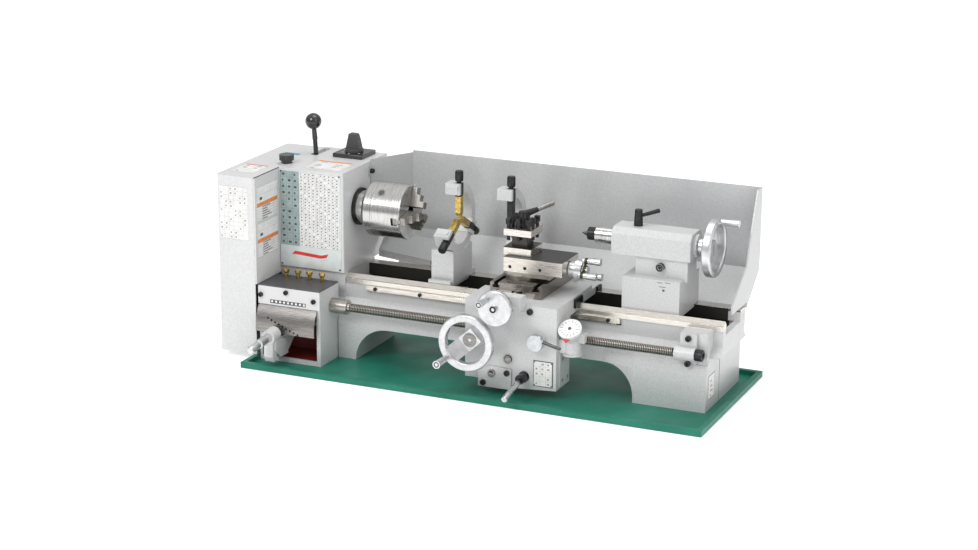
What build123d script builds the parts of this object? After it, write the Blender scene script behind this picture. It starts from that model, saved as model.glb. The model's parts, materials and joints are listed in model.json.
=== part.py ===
from build123d import *
import os
from math import acos, atan2, cos, degrees, pi, radians, sin, sqrt

# Bench lathe, built in machine coordinates (millimetres):
#   X runs along the bed from the headstock's right face towards the tailstock,
#   Y runs from the spindle centre line towards the back, Z is height above the tray's underside.
# Every node is then moved so that the origin is the centre of the drip tray's underside.

# ---- driving dimensions ----
SPINDLE_Z = 265.6
TRAY_LENGTH = 864.0
TRAY_DEPTH = 341.0
TRAY_LEFT = -138.5
TRAY_FRONT = -202.2
TRAY_HEIGHT = 10.4
TRAY_FLOOR = 2.0
TRAY_RIM = 9.0
ORIGIN_SHIFT = (-(TRAY_LEFT + TRAY_LENGTH / 2), -(TRAY_FRONT + TRAY_DEPTH / 2), 0)

BED_LEFT = -130.0
BED_RIGHT = 712.0
BED_FRONT = -60.0
BED_BACK = 60.0
V_CREST_Y = -49.6
V_CREST_Z = 154.3
V_FOOT_Z = 147.0
FLAT_WAY_Z = 150.5
GAP_FRONT = -42.0
GAP_BACK = 36.0
LEDGE_Z = 129.0
BEAM_BOTTOM = 64.0
FOOT_LEFT_X = (-129.0, 30.0)
FOOT_RIGHT_X = (565.0, 696.0)
BOLT_X = (-40.0, 630.0)
BOLT_Y = (-60.0, 60.0)
BOLT_HOLE_R = 5.5

HEAD_FRONT = -65.0
HEAD_BACK = 113.0
HEAD_BOTTOM = 156.0
HEAD_TOP = 339.4
MOTOR_Y = 87.0
MOTOR_Z = 214.0
MOTOR_R = 44.0

BOX_FRONT = -148.0
BOX_BACK = -75.0
BOX_RIGHT = -6.4
PAD_Y = -88.3
BOX_TOP = 140.7
SCREW_Y = -100.0
SCREW_Z = 105.0
SCREW_R = 8.0
LAY_Y = -100.0
LAY_Z = 68.0

COVER_LEFT = -208.0
COVER_RIGHT = -132.3
COVER_FRONT = -153.4
COVER_BACK = 115.0
COVER_BOTTOM = 10.8
COVER_TOP = 337.7
KNOB_X = -131.0
KNOB_Y = -31.0

CHUCK_R = 50.0
CHUCK_BACK = 25.0
CHUCK_SEAM = 44.0
CHUCK_FACE = 102.0
JAW_ANGLES = (190.0, 310.0, 70.0)
SOCKET_TURN = 60.0

RACK_MODULE = 1.25
RACK_X = (43.0, 528.5)
RACK_Y = (-64.0, -58.0)
RACK_Z = (127.0, 138.0)
PINION_TEETH = 12
WHEEL_GEAR_TEETH = 18
PINION_GEAR_TEETH = 41
WHEEL_X = 297.8
WHEEL_Z = 102.8

APRON_X = (275.0, 445.0)
APRON_FRONT = -145.0
APRON_BACK = -83.0
SLIDE_X = (304.0, 400.0)
SLIDE_Y = (-105.0, 70.0)
SLIDE_Z = (167.3, 189.0)
CROSS_X = 352.0
CROSS_Z = 171.5
POST_X = 338.0
POST_Y = -42.0
TOP_SLIDE_X = (318.0, 427.0)
TOP_SLIDE_Y = (-80.0, -4.0)
TOP_SLIDE_Z = (203.3, 229.0)

TAIL_X = (497.0, 640.0)
QUILL_R = 15.0
STEADY_X = 190.0
FOLLOW_X = 290.0
GUARD_BACK = 126.7
GUARD_TOP = 347.0
GUARD_SHEET = 1.5
FIT = 0.05
GAP = 0.3


# ---- shape helpers ----
def block(x, y, z):
    """A box from three (low, high) pairs."""
    size = (x[1] - x[0], y[1] - y[0], z[1] - z[0])
    return Pos((x[0] + x[1]) / 2, (y[0] + y[1]) / 2, (z[0] + z[1]) / 2) * Box(*size)


def rod(start, end, radius, end_radius=None):
    """A round bar, or a cone where end_radius is given, between two points."""
    axis = Vector(*end) - Vector(*start)
    place = Plane(origin=Vector(*start) + axis / 2, z_dir=axis).location
    if end_radius is None:
        return place * Cylinder(radius, axis.length)
    return place * Cone(radius, end_radius, axis.length)


def along_x(y, z, x0, x1, radius, end_radius=None):
    return rod((x0, y, z), (x1, y, z), radius, end_radius)


def along_y(x, z, y0, y1, radius, end_radius=None):
    return rod((x, y0, z), (x, y1, z), radius, end_radius)


def along_z(x, y, z0, z1, radius, end_radius=None):
    return rod((x, y, z0), (x, y, z1), radius, end_radius)


def section_x(points, x0, x1):
    """A (y, z) outline pushed along X."""
    return extrude(Plane.YZ.offset(x0) * make_face(Polyline(*points, close=True)), x1 - x0)


def section_y(points, y0, y1):
    """An (x, z) outline pushed along Y."""
    return extrude(Plane.XZ.offset(-y1) * make_face(Polyline(*points, close=True)), y1 - y0)


def section_z(points, z0, z1):
    """An (x, y) outline pushed along Z."""
    return extrude(Plane.XY.offset(z0) * make_face(Polyline(*points, close=True)), z1 - z0)


def radial(angle, radius, y=0.0, z=SPINDLE_Z):
    """The (y, z) point at an angle and radius about an axis along X."""
    return (y + radius * cos(radians(angle)), z + radius * sin(radians(angle)))


def turned(shape, angle):
    """A shape drawn pointing along +Y from the spindle axis, turned to an angle."""
    return Pos(0, 0, SPINDLE_Z) * Rot(angle, 0, 0) * Pos(0, 0, -SPINDLE_Z) * shape


def socket_head(start, end, radius, key=0.5):
    """A cap screw's head with its hexagon recess in the outer end."""
    axis = Vector(*end) - Vector(*start)
    recess = Plane(origin=Vector(*start) + axis * 0.45, z_dir=axis)
    return rod(start, end, radius) - extrude(recess * RegularPolygon(radius * key, 6), axis.length)


def gear_outline(teeth, module, phase):
    """Trapezoidal teeth, thinned so that a pair runs with backlash."""
    pitch = 2 * pi / teeth
    root = module * (teeth / 2 - 1.25)
    tip = module * (teeth / 2 + 0.85)
    corners = ((root, -0.30), (tip, -0.13), (tip, 0.13), (root, 0.30))
    points = []
    for tooth in range(teeth):
        for radius, share in corners:
            angle = phase + (tooth + share) * pitch
            points.append((radius * cos(angle), radius * sin(angle)))
    return make_face(Polyline(*points, close=True))


def gear_x(y, z, x0, x1, teeth, module, phase=0.0, bore=0.0):
    """A spur gear on an axis along X; phase is the first tooth's angle from +Y."""
    plane = Plane(origin=(x0, y, z), x_dir=(0, 1, 0), z_dir=(1, 0, 0))
    wheel = extrude(plane * gear_outline(teeth, module, phase), x1 - x0)
    return wheel - along_x(y, z, x0 - 1, x1 + 1, bore) if bore else wheel


def gear_y(x, z, y0, y1, teeth, module, phase=0.0):
    """A spur gear on an axis along Y; phase is the first tooth's angle from +X."""
    plane = Plane(origin=(x, y1, z), x_dir=(1, 0, 0), z_dir=(0, -1, 0))
    return extrude(plane * gear_outline(teeth, module, phase), y1 - y0)


def mesh_phase(teeth, own_teeth, own_phase, angle):
    """First-tooth angle that puts a gap of the mating gear on the other gear's tooth at angle."""
    own_pitch = 2 * pi / own_teeth
    offset = ((angle - own_phase) / own_pitch) % 1.0
    return angle + pi + (0.5 + offset) * (2 * pi / teeth)


def dial_point(reach):
    """A point on the thread dial's tilted axis, measured from the elbow of its housing."""
    return (DIAL_X, DIAL_Y - reach * sin(DIAL_TILT), DIAL_ELBOW + reach * cos(DIAL_TILT))


def save(name, *solids):
    shape = Compound(children=[Pos(*ORIGIN_SHIFT) * solid for solid in solids])
    export_step(shape, f"parts/{name}.step")


# ---- tray, guard and bed ----
def make_tray():
    x = (TRAY_LEFT, TRAY_LEFT + TRAY_LENGTH)
    y = (TRAY_FRONT, TRAY_FRONT + TRAY_DEPTH)
    tray = block(x, y, (0, TRAY_HEIGHT))
    inner_x = (x[0] + TRAY_RIM, x[1] - TRAY_RIM)
    inner_y = (y[0] + TRAY_RIM, y[1] - TRAY_RIM)
    tray -= block(inner_x, inner_y, (TRAY_FLOOR, TRAY_HEIGHT + 1))
    for bolt_x in BOLT_X:
        for bolt_y in BOLT_Y:
            tray -= along_z(bolt_x, bolt_y, -1, TRAY_FLOOR + 1, BOLT_HOLE_R)
    save("drip_tray", tray)


def make_guard():
    """Folded sheet: rear panel, sloped apron, left and right wings, and a chip plate."""
    bend_z = 201.0
    foot_y = BED_BACK + 0.4
    outer = [(foot_y, 118), (foot_y, 149), (GUARD_BACK, bend_z), (GUARD_BACK, GUARD_TOP)]
    back = GUARD_BACK + GUARD_SHEET
    inner = [(back, GUARD_TOP), (back, bend_z - 0.7), (foot_y + 1.5, 148.3), (foot_y + 1.5, 118)]
    guard = section_x(outer + inner, 47, BED_RIGHT)
    wing = [(0.4, 44), (47, GUARD_BACK), (47, GUARD_BACK + 3), (0.4, 47)]
    guard += section_z(wing, bend_z, GUARD_TOP - 4)
    guard += block((0.4, 2.0), (38, 47), (312, 332))
    end = [(GUARD_BACK + 1.5, GUARD_TOP), (105, GUARD_TOP), (53, 221), (-21, 171.5), (-21, 158)]
    end += [(60.4, 158), (60.4, 148.3), (GUARD_BACK + 1.5, bend_z - 0.7)]
    guard += section_x(end, BED_RIGHT, BED_RIGHT + 3)
    panel = raised_panel()
    save("splash_guard", guard, panel)


def raised_panel():
    """Sloped chip panel beside the headstock, with a folded lip along its low edge."""
    low_left, low_right, high_left = Vector(5, 66.5, 168.5), Vector(112, 61.5, 160.5), Vector(5, 101, 198)
    along = low_right - low_left
    slope = Plane(origin=low_left, x_dir=along, z_dir=along.cross(high_left - low_left)).location
    outline = section_z([(5, 66.5), (112, 61.5), (136, 68), (140, 96), (5, 101)], 100, 260)
    sheet = outline & (slope * Pos(60, 0, -0.75) * Box(400, 300, 1.5))
    edge = section_z([(5, 66.5), (112, 61.5), (112, 63), (5, 68)], 151.4, 200)
    return sheet + (edge & (slope * Pos(60, 0, -5) * Box(400, 300, 10)))


def front_flare(reach):
    """Front face from the beam's foot up to the rack's recess, flaring out to y = -reach."""
    return [(-reach, TRAY_FLOOR), (-reach, 66), (4 - reach, 84), (-74, 96), (-64, 106), (-58, 111)]


def rail_outlines():
    """Front V way and flat rear way, each with its wall and the ledge the clamps pull against."""
    front = [(-80, BEAM_BOTTOM)] + front_flare(80)[1:] + [(-58, 138), (BED_FRONT, 138), (BED_FRONT, V_FOOT_Z)]
    front += [(-57, V_FOOT_Z), (V_CREST_Y, V_CREST_Z), (GAP_FRONT, V_FOOT_Z - 0.3)]
    front += [(GAP_FRONT, LEDGE_Z), (-50, LEDGE_Z), (-50, BEAM_BOTTOM)]
    back = [(44, BEAM_BOTTOM), (44, LEDGE_Z), (GAP_BACK, LEDGE_Z), (GAP_BACK, FLAT_WAY_Z)]
    back += [(BED_BACK, FLAT_WAY_Z), (BED_BACK, 107), (76, 88), (79, BEAM_BOTTOM)]
    return [front, back]


def foot_face(x, reach):
    """Outline of a foot at one place along the bed."""
    outline = front_flare(reach) + [(-50, 114), (46, 114), (60, 107), (76, 96), (reach - 5, 84)]
    outline += [(reach - 1, 66), (reach - 1, TRAY_FLOOR)]
    return Plane.YZ.offset(x) * make_face(Polyline(*outline, close=True))


def under_arch():
    """The clear space under the beam, between the two feet."""
    rise = sqrt(0.5)
    left = ThreePointArc((30, TRAY_FLOOR), (92 - 62 * rise, TRAY_FLOOR + 62 * rise), (92, BEAM_BOTTOM))
    right = ThreePointArc((513, BEAM_BOTTOM), (513 + 52 * rise, 12 + 52 * rise), (565, 12))
    sill = Polyline((565, 12), (565, -1), (30, -1), (30, TRAY_FLOOR))
    outline = left + Line((92, BEAM_BOTTOM), (513, BEAM_BOTTOM)) + right + sill
    return extrude(Plane.XZ.offset(-120) * make_face(outline), 240)


def make_bed():
    rails = [section_x(outline, BED_LEFT, BED_RIGHT) for outline in rail_outlines()]
    bed = rails[0] + rails[1]
    for x in ((196, 206), (366, 376), (540, 550)):
        bed += block(x, (-52, 46), (BEAM_BOTTOM, 96))
    bed += block((BED_LEFT, 0), (BED_FRONT, BED_BACK), (94, V_CREST_Z))
    bed += block((BED_RIGHT - 12, BED_RIGHT), (-52, 46), (94, LEDGE_Z))
    bed += extrude(foot_face(FOOT_LEFT_X[0], 80), 92 - FOOT_LEFT_X[0])
    bed += loft([foot_face(505, 80), foot_face(FOOT_RIGHT_X[0], 94)], ruled=True)
    bed += extrude(foot_face(FOOT_RIGHT_X[0], 94), FOOT_RIGHT_X[1] - FOOT_RIGHT_X[0])
    bed -= block((BED_LEFT - 1, -5), (-100, BOX_BACK), (0, 133))
    bed += block((648, 695), (PAD_Y, -55), (65, 140))
    bed -= block((BED_RIGHT - 16, BED_RIGHT + 1), (-99, 99), (TRAY_FLOOR - 1, 94))
    bed -= block((FOOT_RIGHT_X[1] - 3, FOOT_RIGHT_X[1] + 1), (-24, -20), (TRAY_FLOOR - 1, 94))
    bed -= under_arch()
    for bolt_x in BOLT_X:
        for bolt_y in BOLT_Y:
            bed -= along_z(bolt_x, bolt_y, TRAY_FLOOR - 1, 32, BOLT_HOLE_R)
    bed += block((-129, -120), (70, HINGE[1] + 3.5), (28, HINGE_Z[0] - GAP))
    bed += along_z(*HINGE, 28, HINGE_Z[0] + 19, 2.5)
    save("bed", bed)


def make_rack():
    """Teeth point down; a gap is centred over the pinion."""
    pitch = pi * RACK_MODULE
    root = RACK_Z[0] + 2.1 * RACK_MODULE
    count = int((RACK_X[1] - RACK_X[0]) / pitch) - 1
    first = PINION_X - pitch * (int((PINION_X - RACK_X[0]) / pitch) - 1)
    points = [(RACK_X[0], RACK_Z[1]), (RACK_X[0], root)]
    for tooth in range(count):
        centre = first + (tooth - 0.5) * pitch
        for share, z in ((-0.30, root), (-0.13, RACK_Z[0]), (0.13, RACK_Z[0]), (0.30, root)):
            points.append((centre + share * pitch, z))
    points += [(RACK_X[1], root), (RACK_X[1], RACK_Z[1])]
    save("feed_rack", section_y(points, *RACK_Y))


def make_leadscrew_bracket():
    bracket = block((648, 677.5), (PAD_Y - 6, PAD_Y), (86, 139)) + along_x(SCREW_Y, SCREW_Z, 642, 678, 11.5)
    bracket += block((653, 676), (SCREW_Y, PAD_Y - 3), (SCREW_Z - 9, SCREW_Z + 9))
    save("leadscrew_bracket", bracket - along_x(SCREW_Y, SCREW_Z, 630, 690, SCREW_R + FIT))


# ---- headstock ----
def make_headstock():
    head = block((-130, 0), (HEAD_FRONT, HEAD_BACK), (HEAD_BOTTOM, HEAD_TOP))
    head = fillet(head.edges().filter_by(Axis.Z).sort_by(Axis.Y)[:2], 3)
    head += along_z(KNOB_X, KNOB_Y, 300, HEAD_TOP, 14)
    head += block((-130, -0.2), (-58, 58), (V_CREST_Z, HEAD_BOTTOM + 1))
    head -= block((-122, -8), (40, HEAD_BACK + 1), (166, 327))
    head -= along_x(0, SPINDLE_Z, -140, 10, 24)
    for x0, x1 in ((-131, -108), (-22, 1)):
        head -= along_x(0, SPINDLE_Z, x0, x1, 34)
    head -= along_x(MOTOR_Y, MOTOR_Z, -140, -120, 12)
    head -= block((-123.4, -110), (44, 102), (320, HEAD_TOP + 1))
    head += block((-132, -129), (COVER_FRONT, HEAD_FRONT + 4), (BOX_TOP + 2.5, COVER_TOP - 1))
    head += block((-129.5, -121), (HEAD_BACK - 1, HINGE[1] + 3.5), (266, HINGE_Z[1] - GAP))
    head += along_z(*HINGE, 266, HINGE_Z[1] + 19, 2.5)
    idler_y, idler_z = IDLER
    head += along_x(idler_y, idler_z, -150, -128, 6)
    save("headstock", head)


def make_plates():
    """Chart plate on the front face and the selector switch's plate on the top."""
    chart = block((-127, -4), (HEAD_FRONT - 1.2, HEAD_FRONT), (HEAD_BOTTOM + 1, 336))
    switch = block((-77, -17), (44, 102), (HEAD_TOP, 347))
    save("headstock_plates", chart, fillet(switch.edges().filter_by(Axis.Z), 3))


def make_motor():
    motor = along_x(MOTOR_Y, MOTOR_Z, -121, -14, MOTOR_R)
    motor = chamfer(motor.edges().filter_by(GeomType.CIRCLE), 4)
    for fin in range(9):
        x = -104 + fin * 9
        groove = along_x(MOTOR_Y, MOTOR_Z, x, x + 3, MOTOR_R + 2)
        motor -= groove - along_x(MOTOR_Y, MOTOR_Z, x, x + 3, MOTOR_R - 3)
    motor += block((-100, -40), (MOTOR_Y - 26, MOTOR_Y + 26), (166, MOTOR_Z - 34))
    save("motor", motor - along_x(MOTOR_Y, MOTOR_Z, -122, -60, 7 + FIT))


def make_bearings():
    parts = []
    for x0, x1 in ((-130, -108), (-22, 0)):
        parts.append(along_x(0, SPINDLE_Z, x0, x1, 34) - along_x(0, SPINDLE_Z, x0 - 1, x1 + 1, 20 + FIT))
    for x0, x1 in ((-133, -130), (0, 5)):
        cap = along_x(0, SPINDLE_Z, x0, x1, 34 if x0 == 0 else 38)
        parts.append(cap - along_x(0, SPINDLE_Z, x0 - 1, x1 + 1, 21))
    save("spindle_bearings", *parts)


def make_belt():
    """Closed belt round the two pulleys, with a little daylight at each groove's floor."""
    def loop(extra):
        ends = Pos(0, SPINDLE_Z) * Circle(PULLEY_R + extra)
        ends += Pos(MOTOR_Y, MOTOR_Z) * Circle(MOTOR_PULLEY_R + extra)
        return make_hull(ends.edges())
    belt = extrude(Plane.YZ.offset(-181) * (loop(5.0) - loop(0.4)), 7)
    save("drive_belt", belt)


def make_cover():
    x = (COVER_LEFT, COVER_RIGHT)
    y = (COVER_FRONT, COVER_BACK)
    shell = block(x, y, (COVER_BOTTOM, COVER_TOP))
    shell = fillet(shell.edges().filter_by(Axis.Z).sort_by(Axis.X)[:2], 8)
    hollow = block((x[0] + 2, x[1] + 5), (y[0] + 2, y[1] - 2), (COVER_BOTTOM + 2, COVER_TOP - 2))
    shell -= fillet(hollow.edges().filter_by(Axis.Z).sort_by(Axis.X)[:2], 6)
    shell -= along_z(KNOB_X, KNOB_Y, COVER_TOP - 20, COVER_TOP + 1, 15)
    shell -= along_x(0, SPINDLE_Z, COVER_LEFT - 1, COVER_LEFT + 4, 16)
    for z in HINGE_Z:
        shell += along_z(HINGE[0], HINGE[1], z, z + 20, 4)
        shell += block((COVER_RIGHT - 3, HINGE[0]), (COVER_BACK - 1.4, HINGE[1]), (z, z + 20))
        shell -= along_z(HINGE[0], HINGE[1], z - 1, z + 21, 2.5 + FIT)
    save("gear_cover", shell)
    knob = along_z(KNOB_X, KNOB_Y, HEAD_TOP + GAP, 345, 10) + along_z(KNOB_X, KNOB_Y, 345, 355, 13.5)
    for flute in range(18):
        angle = radians(flute * 20)
        knob -= along_z(KNOB_X + 14 * cos(angle), KNOB_Y + 14 * sin(angle), 346, 356, 1.3)
    save("cover_knob", knob)


def make_belt_lever():
    foot = (-115.5, 58, 300)
    tip = (-121, 55, 400)
    lever = rod((-115.5, 58, 296), (-119.1, 56.2, 369), 4.3)
    lever += rod((-118.9, 56.3, 366), (-120.6, 55.2, 392), 5, 4.4)
    lever += along_x(foot[1], foot[2], -119, -111, 6) + Pos(*tip) * Sphere(15)
    save("belt_lever", lever)


def make_switch_knob():
    grip = section_y([(-62, 351), (-32, 351), (-36, 369), (-40, 381), (-55, 381)], 67, 79)
    grip = chamfer(grip.edges().group_by(Axis.Z)[-1], 1.5)
    save("switch_knob", along_z(-47, 73, 347.3, 352, 17) + grip)


# ---- spindle, chuck and change gears ----
def make_spindle():
    spindle = along_x(0, SPINDLE_Z, -198, 10, 20) + along_x(0, SPINDLE_Z, 5.3, CHUCK_BACK, 30)
    spindle += along_x(0, SPINDLE_Z, CHUCK_BACK, CHUCK_BACK + 6, 22)
    spindle -= along_x(0, SPINDLE_Z, -199, CHUCK_BACK + 7, 10)
    save("spindle", spindle)
    pulley = along_x(0, SPINDLE_Z, -192, -164, PULLEY_R + 5) - along_x(0, SPINDLE_Z, -193, -160, 20)
    pulley -= along_x(0, SPINDLE_Z, -182, -173, PULLEY_R + 9) - along_x(0, SPINDLE_Z, -182, -173, PULLEY_R)
    gear = gear_x(0, SPINDLE_Z, *GEAR_X, SPINDLE_TEETH, GEAR_MODULE, bore=20)
    save("spindle_pulley", pulley, gear)
    rotor = along_x(MOTOR_Y, MOTOR_Z, -196, -64, 7)
    sheave = along_x(MOTOR_Y, MOTOR_Z, -192, -164, MOTOR_PULLEY_R + 5)
    groove = along_x(MOTOR_Y, MOTOR_Z, -182, -173, 60)
    sheave -= groove - along_x(MOTOR_Y, MOTOR_Z, -182, -173, MOTOR_PULLEY_R)
    save("motor_pulley", rotor + sheave)


def jaw_shape(grow=0.0):
    """One jaw pointing along +Y: a T-shaped foot in the chuck and three stepped teeth in front."""
    half = 7.0 + grow
    if grow:
        reach = block((86, 98 + grow), (0, 60), (SPINDLE_Z - half, SPINDLE_Z + half))
        return reach + block((97, 104), (0, 60), (SPINDLE_Z - 4 - grow, SPINDLE_Z + 4 + grow))
    foot = block((88, 98), (12, 46), (SPINDLE_Z - half, SPINDLE_Z + half))
    foot += block((97.5, 103), (12, 46), (SPINDLE_Z - 4, SPINDLE_Z + 4))
    steps = block((CHUCK_FACE + GAP, 112), (8, 45), (SPINDLE_Z - half, SPINDLE_Z + half))
    steps += block((111, 120), (8, 32), (SPINDLE_Z - half, SPINDLE_Z + half))
    steps += block((119, 128), (8, 20), (SPINDLE_Z - half, SPINDLE_Z + half))
    wedge = section_x([(8, SPINDLE_Z + 20), (8, SPINDLE_Z + 3), (15, SPINDLE_Z + 20)], 100, 130)
    return foot + steps - wedge - mirror(wedge, Plane.XY.offset(SPINDLE_Z))


def make_chuck():
    body = along_x(0, SPINDLE_Z, CHUCK_BACK, CHUCK_FACE, CHUCK_R)
    body = chamfer(body.edges().filter_by(GeomType.CIRCLE).sort_by(Axis.X)[0], 6)
    body = chamfer(body.edges().filter_by(GeomType.CIRCLE).sort_by(Axis.X)[-1], 1.5)
    body -= along_x(0, SPINDLE_Z, CHUCK_BACK - 1, CHUCK_BACK + 6, 22)
    body -= along_x(0, SPINDLE_Z, CHUCK_BACK, CHUCK_FACE + 1, 12)
    seam = along_x(0, SPINDLE_Z, CHUCK_SEAM, CHUCK_SEAM + 0.6, 52)
    body -= seam - along_x(0, SPINDLE_Z, CHUCK_SEAM, CHUCK_SEAM + 0.6, 49.3)
    body -= along_x(0, SPINDLE_Z, 68, 87.5, 44) - along_x(0, SPINDLE_Z, 68, 87.5, 15)
    for angle in JAW_ANGLES:
        body -= turned(jaw_shape(GAP), angle)
        body -= turned(along_y(60, SPINDLE_Z, 40, 52, 5.5), angle + SOCKET_TURN)
        socket = along_y(60, SPINDLE_Z, 42, 48.6, 4.6)
        socket -= block((57, 63), (44, 52), (SPINDLE_Z - 3, SPINDLE_Z + 3))
        body += turned(socket, angle + SOCKET_TURN)
    save("chuck_body", body)
    scroll = along_x(0, SPINDLE_Z, 69, 84, 43) - along_x(0, SPINDLE_Z, 68, 90, 15.5)
    for ring in range(5):
        inner = 17.5 + 5 * ring
        scroll += along_x(0, SPINDLE_Z, 83, 85.5, inner + 2.4) - along_x(0, SPINDLE_Z, 82, 87, inner)
    save("chuck_scroll", scroll)
    for number, angle in enumerate(JAW_ANGLES, 1):
        save(f"chuck_jaw_{number}", turned(jaw_shape(), angle))


def make_change_gears():
    spindle_phase = 0.0
    to_idler = atan2(IDLER[1] - SPINDLE_Z, IDLER[0])
    idler_phase = mesh_phase(IDLER_TEETH, SPINDLE_TEETH, spindle_phase, to_idler)
    idler = gear_x(*IDLER, *GEAR_X, IDLER_TEETH, GEAR_MODULE, idler_phase, 6 + FIT)
    save("idler_gear", idler)
    to_cone = atan2(SCREW_Z - IDLER[1], SCREW_Y - IDLER[0])
    input_phase = mesh_phase(INPUT_TEETH, IDLER_TEETH, idler_phase, to_cone)
    cone = gear_x(SCREW_Y, SCREW_Z, *GEAR_X, INPUT_TEETH, GEAR_MODULE, input_phase)
    cone += along_x(SCREW_Y, SCREW_Z, -147, -30, 7)
    for step in range(5):
        cone += gear_x(SCREW_Y, SCREW_Z, -112 + 14 * step, -104 + 14 * step, 34 - 3 * step, 1.0)
    save("cone_gears", cone)
    down = -pi / 2
    lay_phase = mesh_phase(40, 34, 0.0, down)
    lay = along_x(LAY_Y, LAY_Z, -123.5, -13, 6)
    lay += gear_x(LAY_Y, LAY_Z, -111.5, -104.5, 40, 1.0, lay_phase)
    lay += gear_x(LAY_Y, LAY_Z, -26, -18, 37, 1.0, 0.0)
    save("layshaft_gears", lay)


def make_leadscrew():
    screw = along_x(SCREW_Y, SCREW_Z, -28, 688, SCREW_R)
    collar = along_x(SCREW_Y, SCREW_Z, -6, 27, 13.5)
    collar = chamfer(collar.edges().filter_by(GeomType.CIRCLE), 1)
    nut = chamfer(along_x(SCREW_Y, SCREW_Z, 678, 691, 10).edges().filter_by(GeomType.CIRCLE), 1)
    phase = mesh_phase(37, 37, 0.0, pi / 2)
    gear = gear_x(SCREW_Y, SCREW_Z, -26, -18, 37, 1.0, phase)
    save("leadscrew", screw + collar + nut + gear)


# ---- quick-change gearbox ----
def make_gearbox():
    box = block((-129, BOX_RIGHT), (BOX_FRONT + 2, BOX_BACK), (TRAY_FLOOR, BOX_TOP))
    box -= block((-124, -12.4), (BOX_FRONT + 8, BOX_BACK - 2.5), (8, BOX_TOP - 6))
    box -= block((-124, -14), (BOX_FRONT, BOX_FRONT + 10), (10, 104))
    box -= along_x(SCREW_Y, SCREW_Z, -131, -123, 7 + FIT)
    box -= along_x(SCREW_Y, SCREW_Z, -13, 0, SCREW_R + FIT)
    box -= along_x(LAY_Y, LAY_Z, -131, -123, 6 + FIT) + along_x(LAY_Y, LAY_Z, -14, -8, 6 + FIT)
    save("gearbox_housing", box)


def index_curve():
    """(y, z) ends and middle of the curved index plate's outer face."""
    radius = 61.2
    top = atan2(106 - LAY_Z, -48)
    low = pi + 0.15
    return [(LAY_Y + radius * cos(a), LAY_Z + radius * sin(a)) for a in (top, (top + low) / 2, low)]


def make_gearbox_plates():
    lid = block((-130, BOX_RIGHT), (BOX_FRONT, BOX_BACK), (BOX_TOP, BOX_TOP + 2))
    front = block((-130, BOX_RIGHT), (BOX_FRONT, BOX_FRONT + 2), (107, BOX_TOP))
    front -= block((-106, -34), (BOX_FRONT - 1, BOX_FRONT + 3), (110, 117))
    outer = index_curve()
    inner = [(LAY_Y + (y - LAY_Y) * 0.97, LAY_Z + (z - LAY_Z) * 0.97) for y, z in outer]
    edge = ThreePointArc(*outer) + Line(outer[2], inner[2])
    edge += ThreePointArc(*inner[::-1]) + Line(inner[0], outer[0])
    index = extrude(Plane.YZ.offset(-129) * make_face(edge), 117)
    for hole in range(9):
        x = -105 + 7.5 * hole
        z = 85 - 3.06 * hole
        index -= along_y(x, z, -175, -130, 2)
    save("gearbox_plates", lid, front, index)


def make_oilers():
    cups = []
    for x in (-103.4, -79.4, -56.2, -30.7):
        stem = along_z(x, -90, BOX_TOP + 2, 153, 3.6)
        cups.append(stem + along_z(x, -90, 152, 154.5, 4, 6) + along_z(x, -90, 154.5, 159.5, 6))
    save("oilers", *cups)


def make_selector():
    """Sleeve that slides on the layshaft, the lever that swings on it and its spring plunger."""
    sleeve = along_x(LAY_Y, LAY_Z, -103.5, -70, 10) - along_x(LAY_Y, LAY_Z, -104, -69, 6 + FIT)
    flange = along_x(LAY_Y, LAY_Z, -72, -69.5, 15) - along_x(LAY_Y, LAY_Z, -73, -69, 6 + FIT)
    save("selector_sleeve", sleeve + flange)
    ring = along_x(LAY_Y, LAY_Z, -96, -74, 15)
    reach = [(LAY_Y - 6, LAY_Z - 12), (LAY_Y + 4, LAY_Z - 16), (-134, 22), (-168, 30)]
    reach += [(-186, 44), (-186, 54), (-150, 54)]
    arm = section_x(reach, -94, -78)
    web = [(-146, 50), (-184, 54), (-184, 34), (-166, 18), (-138, 18)]
    arm += section_x(web, -96, -76)
    leg = [(-168, 52), (-190, 60), (-192, 24), (-188, 14), (-180, 14), (-174, 30)]
    arm += section_x(leg, -96, -78)
    boss = rod(*PLUNGER_LINE[:2], 13)
    lever = ring + arm + boss
    lever -= along_x(LAY_Y, LAY_Z, -110, -60, 10 + FIT) + rod(PLUNGER_LINE[0], PLUNGER_LINE[3], 5 + FIT)
    save("selector_lever", lever)
    plunger = rod(PLUNGER_LINE[0], PLUNGER_LINE[2], 5) + rod(PLUNGER_LINE[4], PLUNGER_LINE[2], 8)
    plunger += rod(PLUNGER_LINE[2], PLUNGER_LINE[3], 6.5)
    save("selector_plunger", plunger)


def make_frame_screws():
    heads = []
    for x, z in ((-73, 133), (-124, 124), (-18, 123)):
        heads.append(socket_head((x, BOX_FRONT, z), (x, BOX_FRONT - 4, z), 4.2))
    for x in (62, 150, 507):
        heads.append(socket_head((x, RACK_Y[0], 133.5), (x, RACK_Y[0] - 2, 133.5), 3.4))
    for z in (130.5, 86.5):
        heads.append(socket_head((663, PAD_Y - 6, z), (663, PAD_Y - 11, z), 5.2))
    for x in (-124, -7):
        for z in (161, 333):
            heads.append(rod((x, HEAD_FRONT - 1.2, z), (x, HEAD_FRONT - 2, z), 1.6))
    heads.append(socket_head((2, 42.5, 322), (8, 42.5, 322), 4.5))
    for z in (28, 73):
        heads.append(socket_head((BOX_RIGHT, -80, z), (BOX_RIGHT + 1.2, -80, z), 3.2))
    save("frame_screws", *heads)


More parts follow.
